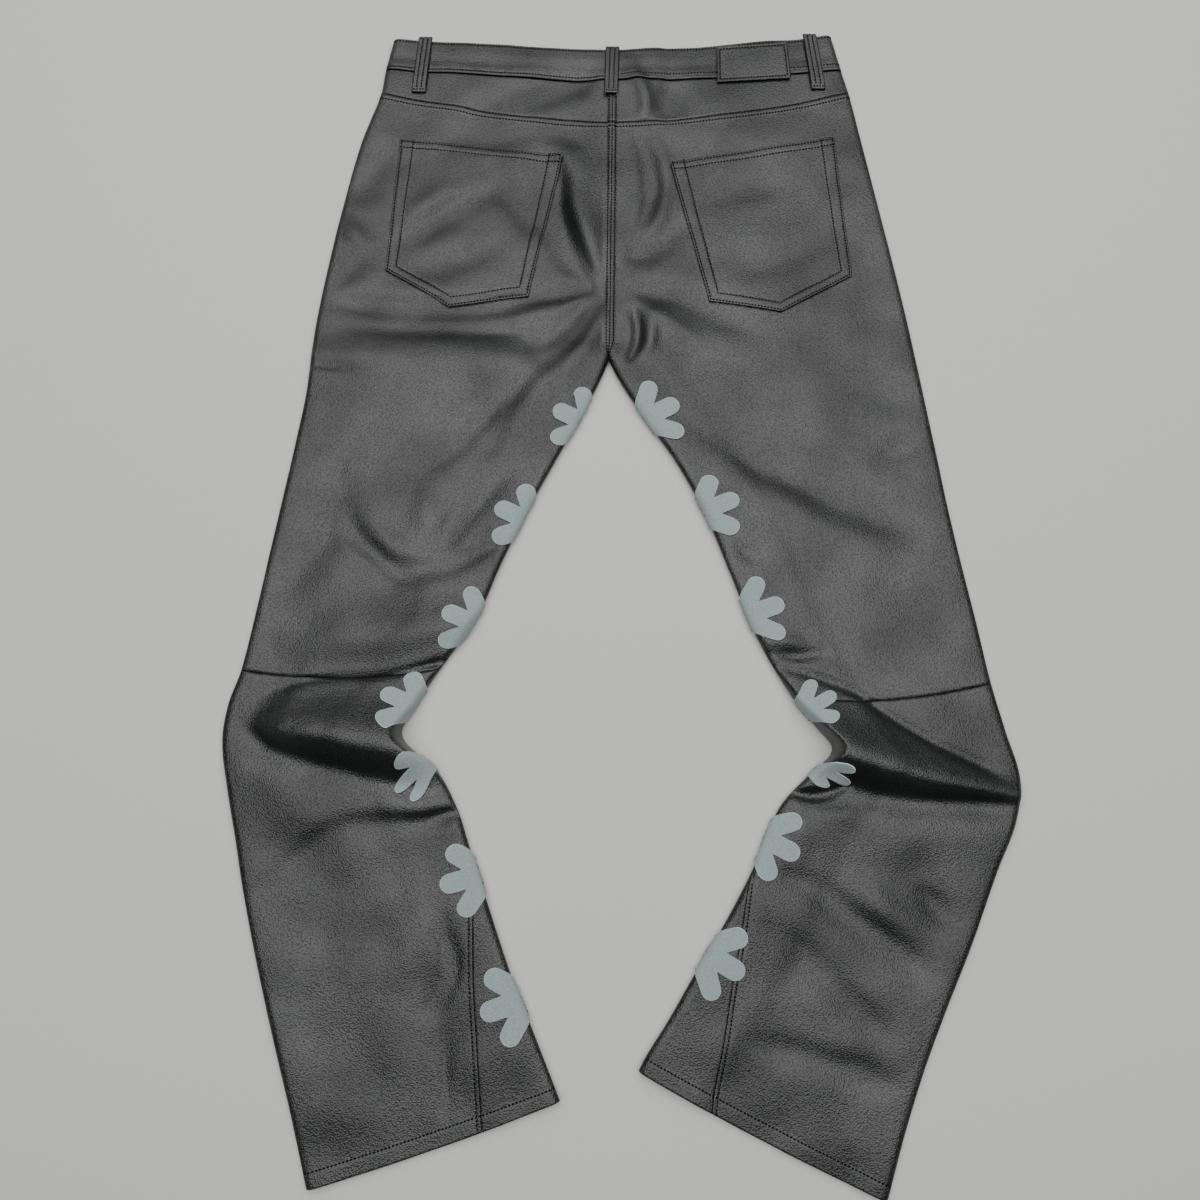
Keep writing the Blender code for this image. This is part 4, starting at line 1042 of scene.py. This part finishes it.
def distance_inside(points, ring, sign=1):
    """Distance to the nearest side of a ring of corners that turns left, or right at sign -1."""
    return np.minimum.reduce([line_distance(points, a, b) * sign for a, b in zip(ring, ring[1:])])


def crossing(a, b, c, d):
    """Where the line through a and b meets the line through c and d."""
    way, other = b - a, d - c
    share = other[0] * (c - a)[1] - other[1] * (c - a)[0]
    return a + way * (share / (other[0] * way[1] - other[1] * way[0]))


def inset_line(a, b, near_a, near_b, sign=1):
    """The line from a to b, moved inwards by one distance at a and another at b."""
    way = (b - a) / np.linalg.norm(b - a)
    inward = np.array((-way[1], way[0])) * sign
    return a + inward * near_a, b + inward * near_b


def meetings(lines):
    """Where each line of a chain meets the next one."""
    return np.array([crossing(*one, *two) for one, two in zip(lines, lines[1:])])


def pocket_row(ring, insets, sign):
    """Corners of a row inside a pocket's edges, which starts and ends at the opening."""
    lines = [inset_line(a, b, *near, sign) for a, b, near in zip(ring, ring[1:], insets)]
    opening = (ring[-1], ring[0])
    return meetings([opening, *lines, opening])


print("pockets:", list(POCKETS))

# %% Both pockets
POCKET_CHAINS = []
for side, sign in zip(SIDES, (1, -1)):
    corners = np.array(POCKETS[side], float)
    top_in, top_out, low_out, tip, low_in = corners
    wide, high = np.linalg.norm(top_in - top_out), np.linalg.norm(top_out - low_out)
    legs = np.linalg.norm(tip - low_out), np.linalg.norm(low_in - tip)
    turn_at = legs[0] / sum(legs)
    u = np.sort(np.append(spaced(wide, FINE) / wide, turn_at))
    v = spaced(high, FINE) / high
    upper = mix(top_out, top_in, u[:, None])
    low_points = (low_out, tip, low_in)
    lower = [np.interp(u, (0, turn_at, 1), [p[k] for p in low_points]) for k in (0, 1)]
    flat = mix(upper, np.stack(lower, axis=-1), v[:, None, None])
    ring = [top_out, low_out, tip, low_in, top_in]
    low = (POCKET_LOW, POCKET_LOW)
    inner = pocket_row(ring, (POCKET_SIDE, low, low, POCKET_SIDE[::-1]), sign)
    edge, inside = distance_inside(flat, ring, sign), distance_inside(flat, inner, sign)
    top = line_distance(flat, top_in, top_out) * sign
    relief = raised(inside, 0, 0.8) + dip(edge, 0.4, 0.6) + dip(top, 0.4, 0.6)
    relief += groove(edge, POCKET_EDGE_ROW, 0.4) + groove(inside, 0.3, 0.5)
    relief += raised(top, POCKET_HEM[1], 0.5) + groove(top, POCKET_HEM[0], 0.35)
    relief += groove(top, POCKET_HEM[1], 0.45)
    if side == "left":  # its inner corner stands up a little
        relief += 1.2 * np.exp(-((np.linalg.norm(flat - top_in, axis=-1) / 9) ** 2))
    height = heights_over(LEG_TREES[side], flat)
    points = np.dstack((flat, height + POCKET_THICK + POCKET_CLEAR + relief))
    x, y = corners.T
    area = abs(x @ np.roll(y, -1) - y @ np.roll(x, -1)) / 2
    dress(leather_piece(f"back_pocket_{side}", points, 1), np.ptp(corners, axis=0), area)
    edge_insets = [(POCKET_EDGE_ROW, POCKET_EDGE_ROW)] * 4
    opening = toward(top_in, top_out, 2), toward(top_out, top_in, 2)
    POCKET_CHAINS += [pocket_row(ring, edge_insets, sign), inner]
    POCKET_CHAINS += [inset_line(*opening, at, at, sign) for at in POCKET_HEM]

# %% [markdown]
# ## Petalled patches
#
# Each patch is a flower of suede that is glued and sewn over the inseam: three petals lie on the
# back and three on the front. It is cut flat once, then bent round the edge of the leg. Near the
# knee some patches lie in a fold, so less of their length shows. A Curve modifier bends a flat
# piece too, but here the leg already tells where each point of leather lies.

# %% Outline of a patch
PETAL_SPREAD = 45  # degrees from petal to petal
PETAL_REACH = 32.6  # from where the petals' middle lines meet to the centre of a round end
PETAL_ROUND = 8.4
PATCH_OUT = 1.3  # a patch's outer face above the leather's
PATCH_COLUMNS = ("x", "y", "turn", "shift", "length", "width", "lean")
PATCHES = {
    "left": (
        (-42, 109, 0, -12, 0.97, 1.0, 0),
        (-92, 16, -2, -10, 0.97, 1.0, 0),
        (-129, -79, 4, -9, 0.93, 1.0, 0),
        (-173, -152, 0, -5, 0.88, 1.0, 0),
        (-158, -200, -13, -3, 0.55, 1.06, 0),
        (-116, -291, -5, -5, 0.93, 1.0, 0),
        (-81, -386, -5, -4, 0.96, 1.0, 0),
    ),
    "right": (
        (26, 114, 3, -3, 1.0, 1.0, 0),
        (77, 25, 0, -4, 0.95, 1.0, 0),
        (116, -67, 0, -3, 0.94, 1.0, 0),
        (152, -153, 5, -4, 0.65, 1.0, 0),
        (164, -201, 5, -3, 0.42, 0.9, 27),
        (119, -257, 3, -7, 0.95, 1.0, 0),
        (75, -350, -3, -4, 0.97, 1.0, 0),
    ),
}


def half_flower(angle, turn, shift):
    """Distance from the seam to the outline of three petals, for angles up to 90 degrees. Turn
    tips them towards the hem and shift moves them onto the back."""
    ray = np.stack((np.cos(angle), np.sin(angle)), axis=-1)
    start = np.array((-shift, 0.0))
    best = np.zeros_like(angle)
    for petal in (-1, 0, 1):
        way = math.radians(turn + PETAL_SPREAD * petal)
        axis = np.array((math.cos(way), math.sin(way)))
        off = np.array((-axis[1], axis[0]))
        speed = ray @ off
        speed = np.where(np.abs(speed) < 1e-6, 1e-6, speed)
        to_side = (np.sign(speed) * PETAL_ROUND - start @ off) / speed
        along_it = start @ axis + to_side * (ray @ axis)
        from_end = start - axis * PETAL_REACH
        half_b = ray @ from_end
        root = half_b**2 - (from_end @ from_end - PETAL_ROUND**2)
        to_end = -half_b + np.sqrt(np.maximum(root, 0))
        leaves = np.where(along_it <= PETAL_REACH, to_side, to_end)
        best = np.maximum(best, np.where(along_it > 0, leaves, 0))
    return best


print("a petal is", 2 * PETAL_ROUND, "mm wide")


# %% Places on a leg from points seen from above
TRIES, NUDGE, EASE = 12, 0.01, 0.8
NEAR, REACH = 12, 110  # samples along the inseam, for its direction and for a patch's length


def place_and_arc(side, points):
    """Place and arc of points that are given as seen from above, by stepping closer to them."""
    line = along(INNER[side], SAMPLES)
    nearest = np.argmin(np.linalg.norm(points[:, None] - line[None], axis=-1), axis=1)
    place = SAMPLES[nearest]
    for _ in range(TRIES):
        a, b = section_ends(side, place)
        a2, b2 = section_ends(side, place + NUDGE)
        wide = np.linalg.norm(b - a, axis=-1)
        share = np.sum((points - a) * (b - a), axis=-1) / wide**2
        at, ahead = mix(a, b, share[:, None]), mix(a2, b2, share[:, None])
        off = np.stack((-(b - a)[:, 1], (b - a)[:, 0]), axis=-1) / wide[:, None]
        miss = np.sum((points - at) * off, axis=-1)
        speed = np.sum((ahead - at) * off, axis=-1) / NUDGE
        place = np.clip(place + EASE * miss / speed, 0, len(NAMES) - 1)
    from_inner = np.maximum((1 - share) * wide, 0)
    in_roll = np.arccos(np.clip(1 - from_inner / ROLL, -1, 1)) * ROLL_ARC * 2 / math.pi
    reach = np.where(from_inner < ROLL, in_roll, from_inner - ROLL + ROLL_ARC)
    return place, span(side, place) - reach


def lay_patch(side, x, y, across, ahead, lean=0):
    """Points of a patch on the leg. Across is measured from the inseam, more than 0 on the back,
    and ahead along it. Lean is how far across turns from square to the seam."""
    line = along(INNER[side], SAMPLES)
    nearest = np.argmin(np.linalg.norm(line - (x, y), axis=1))
    way = line[min(nearest + NEAR, len(line) - 1)] - line[max(nearest - NEAR, 0)]
    way = way / np.linalg.norm(way)
    inward = np.array((way[1], -way[0])) * (1 if side == "left" else -1)
    tip = math.radians(lean)
    inward = inward * math.cos(tip) - way * math.sin(tip)
    run = (line - line[nearest]) @ way
    order = slice(max(nearest - REACH, 0), nearest + REACH)
    edge = np.stack([np.interp(ahead, run[order], line[order, k]) for k in (0, 1)], axis=-1)
    place, arc = place_and_arc(side, edge + inward * from_above(np.abs(across))[:, None])
    back = leather(side, place, arc, 1, 0.0, PATCH_OUT, down=0)
    front = leather(side, place, arc, -1, 0.0, PATCH_OUT, down=0)
    front[:, 2] = np.maximum(front[:, 2], 0)
    return np.where(across[:, None] >= 0, back, front)


# %% The flat patch
FLOWER_POINTS = 128
FLOWER_RINGS = (0.985, 0.95, 0.88, 0.78, 0.67, 0.56, 0.46)
FLOWER_RINGS += (0.38, 0.31, 0.25, 0.19, 0.14, 0.09, 0.04)
bpy.ops.object.select_all(action="DESELECT")
bpy.ops.mesh.primitive_circle_add(vertices=FLOWER_POINTS, radius=1, fill_type="NOTHING")
flower = bpy.context.object
bpy.ops.object.mode_set(mode="EDIT")
bpy.ops.mesh.select_all(action="SELECT")
for ring, before in zip(FLOWER_RINGS, (1, *FLOWER_RINGS)):
    bpy.ops.mesh.extrude_edges_move()
    bpy.ops.transform.resize(value=(ring / before, ring / before, 1))
bpy.ops.mesh.extrude_edges_move()
bpy.ops.mesh.merge(type="COLLAPSE")
bpy.ops.object.mode_set(mode="OBJECT")
unit = np.array([v.co[:2] for v in flower.data.vertices])
on_rim = (np.linalg.norm(unit, axis=1) > 0.99).astype(np.float32)
rim = flower.data.attributes.new("rim", "FLOAT", "POINT")
rim.data.foreach_set("value", on_rim)
print("flat patch:", len(flower.data.vertices), "points")

# %% Bending the patches round the inseam
WELL_ON_BACK = 12  # mm from the seam, where a face certainly points up
angle = np.arctan2(unit[:, 1], np.abs(unit[:, 0]))
half_turn = np.linspace(-math.pi / 2, math.pi / 2, 721)
for side in SIDES:
    for count, row in enumerate(PATCHES[side], 1):
        how = dict(zip(PATCH_COLUMNS, row))
        patch = flower.copy()
        patch.data = flower.data.copy()
        bpy.context.collection.objects.link(patch)
        patch.name = patch.data.name = f"cloth_petal_patch_{side}_{count}"
        flat = unit * half_flower(angle, how["turn"], how["shift"])[:, None]
        across, ahead = flat[:, 0] * how["width"], flat[:, 1] * how["length"]
        points = lay_patch(side, how["x"], how["y"], across, ahead, how["lean"])
        upper = np.array([flat[f.vertices[0], 0] > WELL_ON_BACK for f in patch.data.polygons])
        move_points(patch, points, upper)
        finish_piece(patch, SUEDE, PATCH_THICK)
        outline = half_flower(half_turn, how["turn"], how["shift"])
        area = math.pi * np.mean(outline**2) * how["length"] * how["width"]
        dress(patch, np.ptp(flat, axis=0) * (how["width"], how["length"]), area, "suede")
bpy.data.objects.remove(flower)

# %% [markdown]
# ## Belt loops and the label
#
# A belt loop is a folded strip with two stitched grooves, so it shows three ribs. It is turned
# under at the bottom. The label is a plain leather rectangle with a stitched border. Both are too
# stiff to follow every dent of the waistband, so they rest on the highest places under them.

# %% Stiff strips and belt loops
LOOP_WIDTH = 14.0
BACK_LOOPS = {
    "left": (-199, 515, -203, 452),
    "centre": (-13, 505, -14, 451),
    "right": (183, 524, 190, 461),
}
FRONT_LOOPS = {"left": (-126, 508, -130, 448), "right": (100, 510, 104, 450)}
waist_tree = tree_of([waistband, *YOKES.values()])


def bridged(flat, reach, blur):
    """Height that a stiff strip's rows rest at: the highest place within reach, evened out."""
    rows = np.fmax.reduce(heights_over(waist_tree, flat), axis=1)
    near = [rows[max(i - reach, 0) : i + reach + 1] for i in range(len(rows))]
    high = np.pad([np.fmax.reduce(some) for some in near], blur, mode="edge")
    count = 2 * blur + 1
    return np.convolve(high, np.ones(count) / count, "valid")[:, None]


RIBS = 0.5  # mm of a loop's thickness that its ribs take


def loop_profile(u):
    """Height across a loop, from -1 to 1: three ribs, and edges that turn down."""
    ribs = 0.9 * RIBS * np.abs(np.cos(u * 1.5 * math.pi)) ** 0.6
    return ribs - 0.9 * smooth(0.86, 1.0, np.abs(u))


def belt_loop(name, line, face):
    x0, y0, x1, y1 = line
    length = math.hypot(x1 - x0, y1 - y0)
    v = spaced(length, 2.0) / length
    u = np.sort(np.unique(np.concatenate((np.linspace(-1, 1, 31), [-0.97, -0.93, 0.93, 0.97]))))
    middle = np.stack((mix(x0, x1, v), mix(y0, y1, v)), axis=-1)
    flat = np.repeat(middle[:, None], len(u), axis=1)
    flat[..., 0] += u * LOOP_WIDTH / 2
    from_low, from_top = ((1 - v) * length)[:, None], (v * length)[:, None]
    relief = loop_profile(u) * (1 - 0.5 * (1 - smooth(3.5, 5.5, from_low)))
    relief = relief + raised(from_low, 4.5, 0.5) + groove(from_low, 2.6, 0.4)
    relief = relief + dip(from_low, 0.9, 0.8) + dip(from_top, 0.9, 1.2)
    if face > 0:
        z = bridged(flat, reach=9, blur=4) + LOOP_THICK - RIBS + relief
    else:
        z = np.maximum(0.6 - relief, 0)
    loop = leather_piece(name, np.dstack((flat, z)), face, LOOP_THICK - 0.6)
    dress(loop, (LOOP_WIDTH, y0 - y1))
    return loop


back_loops = [belt_loop(f"belt_loop_back_{name}", at, 1) for name, at in BACK_LOOPS.items()]
for name, at in FRONT_LOOPS.items():
    belt_loop(f"belt_loop_front_{name}", at, -1)

# %% The plain label
LABEL = [np.array(corner, float) for corner in ((90, 466), (163, 472), (160, 513), (90, 506))]
LABEL_RING = [*LABEL, LABEL[0]]
LABEL_THICK = 1.4
LABEL_ROW = 3.2  # from the edge to the stitches
a, b, c, d = LABEL
wide, high = np.linalg.norm(b - a), np.linalg.norm(d - a)
u, v = spaced(wide, FINE) / wide, spaced(high, FINE) / high
flat = mix(mix(d, c, u[:, None]), mix(a, b, u[:, None]), v[:, None, None])
edge = distance_inside(flat, LABEL_RING)
relief = dip(edge, 0.6, 0.7) + groove(edge, LABEL_ROW, 0.5, 0.9)
relief += groove(edge, 1.6, -0.25, 1.0) - 0.15 * smooth(4, 7, edge)
points = np.dstack((flat, bridged(flat, reach=8, blur=5) + LABEL_THICK + relief))
label = leather_piece("waist_patch", points, 1, LABEL_THICK - 0.1)
dress(label, (wide, high), wide * high * 0.98)  # its corners aren't quite square

# %% [markdown]
# ## Stitches
#
# Nylon thread lies over the leather for a stitch of three millimetres, dives in and comes up
# again. One stitch is a small stretched ball. It is copied along every sewn row, and a ray cast
# onto the leather tells each copy where to lie and which way to tilt. Painted stitches would
# cost less, but they would not catch the light or cast a shadow.

# %% One stitch and a row of them
STITCH = 3.0
# Wider than real thread, so that the stitches also carry the painted shade of their grooves.
STITCH_SIZE = (1.3, 0.85, 0.5)  # half its length, width and height
STITCH_OUT = 0.12  # mm that its middle stands above the leather
ROW_POINTS = 200
bpy.ops.object.select_all(action="DESELECT")
bpy.ops.mesh.primitive_ico_sphere_add(subdivisions=1, radius=1)
ball = bpy.context.object
BALL_POINTS = np.array([v.co[:] for v in ball.data.vertices]) * STITCH_SIZE
BALL_FACES = np.array([f.vertices[:] for f in ball.data.polygons])
bpy.data.objects.remove(ball)


def walk(points, pitch=STITCH):
    """Places at even distances along a chain of points, and the direction at each."""
    points = np.asarray(points, float)
    run = np.concatenate(([0], np.cumsum(np.linalg.norm(np.diff(points, axis=0), axis=1))))
    at = np.arange(pitch / 2, run[-1], pitch)
    found, ahead, behind = [
        np.stack([np.interp(at + off, run, points[:, k]) for k in (0, 1)], axis=-1)
        for off in (0, 0.5, -0.5)
    ]
    return found, ahead - behind


def sew(name, chains, sign=1, under=None):
    """A mesh of stitches along all the chains, on the first surface that a ray meets. What lies
    under another piece gets no stitches."""
    points, faces = [], []
    for chain in chains:
        for (x, y), (dx, dy) in zip(*walk(chain)):
            hit, normal = drop(sewn_tree, x, y, sign)
            if hit is None or (under and drop(under, x, y)[0]):
                continue
            normal = normal if normal.z * sign > 0 else -normal
            way = Vector((dx, dy, 0))
            way = (way - normal * way.dot(normal)).normalized()
            axes = np.array((way, normal.cross(way), normal))
            faces.append(BALL_FACES + len(points) * len(BALL_POINTS))
            points.append(BALL_POINTS @ axes + np.array(hit + normal * STITCH_OUT))
    points = np.concatenate(points)
    if sign < 0:
        points[:, 2] = np.maximum(points[:, 2], 0)
    mesh = bpy.data.meshes.new(name)
    mesh.from_pydata((points * MM).tolist(), [], np.concatenate(faces).tolist())
    mesh.materials.append(THREAD_AND_GROOVE_SHADE)
    mesh.shade_smooth()
    thread = bpy.data.objects.new(name, mesh)
    bpy.context.collection.objects.link(thread)
    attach(thread, "root")
    print(f"{name:28} {len(faces)} stitches")


def cross_row(side, face, section, distance, inner_end=0.0, outer_end=3.0):
    """A row across the leg, at a distance below one of its sections."""
    run = length_at(side, PLACE[section]) + distance
    place = place_at(side, np.array([run]))
    end = (span(side, place) - godet_width(side, place))[0] - inner_end
    arcs = np.linspace(outer_end, end, ROW_POINTS)
    return leather(side, np.full(ROW_POINTS, place[0]), arcs, face)[:, :2]


def hem_row(side, face):
    """The row that holds a hem's turn, right across the leg."""
    high, low = length_at(side, PLACE["hem_high"]), length_at(side, PLACE["hem"])
    return cross_row(side, face, "hem_high", low - high - HEM_ROW, -godet_width(side, PLACE["hem"]))


sewn_tree = tree_of(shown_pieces())
on_band = tree_of([label, *back_loops])
print("one stitch:", 2 * STITCH_SIZE[0], "mm long")

# %% Rows on the back
chains = [cross_row(side, 1, "waist_top", at) for side in SIDES for at in BAND_ROWS]
sew("thread_waistband_back", chains, under=on_band)

chains = [cross_row(side, 1, "yoke_seam", at, 4) for side in SIDES for at in YOKE_ROWS]
sew("thread_yoke_seams", chains, under=on_band)

places = np.linspace(PLACE["waist_seam"], PLACE["crotch"] - 0.15, ROW_POINTS)
centre, fade = along(INNER["right"], places), 1 - below_crotch(places)
rows = [np.stack(((at - STRIP_OVER) * fade, fade * 0), axis=-1) for at in STRIP_ROWS]
sew("thread_centre_seam", [centre + row for row in rows], under=on_band)

sew("thread_back_pockets", POCKET_CHAINS)

chains = []
for side in SIDES:
    chains.append(hem_row(side, 1))
    places = np.linspace(PLACE["godet_top"] + 0.2, PLACE["hem"] - 0.1, 160)
    arcs = span(side, places) - godet_width(side, places) - GODET_ROW
    chains.append(leather(side, places, arcs, 1)[:, :2])
patches = tree_of([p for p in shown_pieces() if "petal_patch" in p.name])
sew("thread_hems_and_godets", chains, under=patches)

lines = [inset_line(p, q, LABEL_ROW, LABEL_ROW) for p, q in zip(LABEL_RING, LABEL_RING[1:])]
corners = meetings([*lines, lines[0]])
sew("thread_label", [[*corners, corners[0]]])

chains = []
for x0, y0, x1, y1 in BACK_LOOPS.values():
    for off in (-LOOP_WIDTH / 6, LOOP_WIDTH / 6):
        chains.append([(x0 + off, y0 - 2), (x1 + off, y1 + 4)])
    chains.append([(x1 - LOOP_WIDTH / 2 + 1, y1 + 2.6), (x1 + LOOP_WIDTH / 2 - 1, y1 + 2.6)])
sew("thread_belt_loops", chains)

# %% Rows on the fronts
chains = []
for side in SIDES:
    chains += [cross_row(side, -1, "waist_top", at) for at in BAND_ROWS]
    chains.append(hem_row(side, -1))
sew("thread_fronts", chains, -1)

# %% [markdown]
# ## The solids that stay
#
# The waist button and the zip's tape are hidden inside, and their plain solids are right as they
# are. They only get a better finish.

# %% Button and tape
for node, material in (("waist_button", METAL), ("fly_zip", TAPE)):
    for slot_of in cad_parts[node].material_slots:
        slot_of.material = material
    print(node, "is now", material.name)

# %% [markdown]
# ## Floor, light and camera
#
# The trousers lie on a pale studio floor. One very large softbox hangs level above them and
# reaches past the waist, so leather that lies flat mirrors it softly and slopes that tip away
# from it fall into shade. Small lamps would draw hard streaks on the pebbles instead. The camera
# stands above the knees, tilted a little towards the waist.

# %% Floor
# Board with matt paint: pale, even and without a reflection.
bpy.ops.object.select_all(action="DESELECT")
bpy.ops.mesh.primitive_plane_add(size=8, location=(0, 0, -0.0002))
floor = bpy.context.object
floor.name = "studio_floor"
floor.data.materials.append(
    new_material("matt_painted_board", Roughness=0.8, Base_Color=linear("#b4b4b0"))[0]
)
print("floor:", floor.name)


# %% Lights
def softbox(name, place, aim, size, power):
    """A flat rectangular lamp that is turned to a place."""
    light = bpy.data.lights.new(name, "AREA")
    light.shape = "RECTANGLE"
    light.size, light.size_y = size
    light.energy = power
    lamp = bpy.data.objects.new(name, light)
    bpy.context.collection.objects.link(lamp)
    lamp.location = place
    lamp.rotation_euler = (Vector(aim) - Vector(place)).to_track_quat("-Z", "Y").to_euler()


softbox("softbox_ceiling", (0, 0.74, 2.2), aim=(0, 0.74, 0), size=(3.9, 4.03), power=155)
# A far wall, much dimmer, shows only in the steep slopes that face the waist.
softbox("softbox_wall", (0, 3.2, 1.25), aim=(0, 0, 1.25), size=(6.0, 2.3), power=13)
world = bpy.data.worlds.new("studio_room")
bpy.context.scene.world = world
world.use_nodes = True
room = world.node_tree.nodes["Background"].inputs
room["Color"].default_value = (0.9, 0.95, 1.0, 1)  # linear: a cool white
room["Strength"].default_value = 0.04
print("lights:", len(bpy.data.lights))

# %% Camera
CAMERA_PLACE = (-0.0184, -0.2587, 0.849)
CAMERA_TILT, CAMERA_TURN = 13.42, 0.74  # degrees
camera_data = bpy.data.cameras.new("camera")
camera_data.lens = 30
camera_data.sensor_width = 36
camera_data.clip_start = 0.01
camera = bpy.data.objects.new("camera", camera_data)
bpy.context.collection.objects.link(camera)
tilt = Matrix.Rotation(math.radians(CAMERA_TILT), 4, "X")
turned = tilt @ Matrix.Rotation(math.radians(CAMERA_TURN), 4, "Z")
camera.matrix_world = Matrix.Translation(CAMERA_PLACE) @ turned
bpy.context.scene.camera = camera
print("camera at", CAMERA_PLACE)
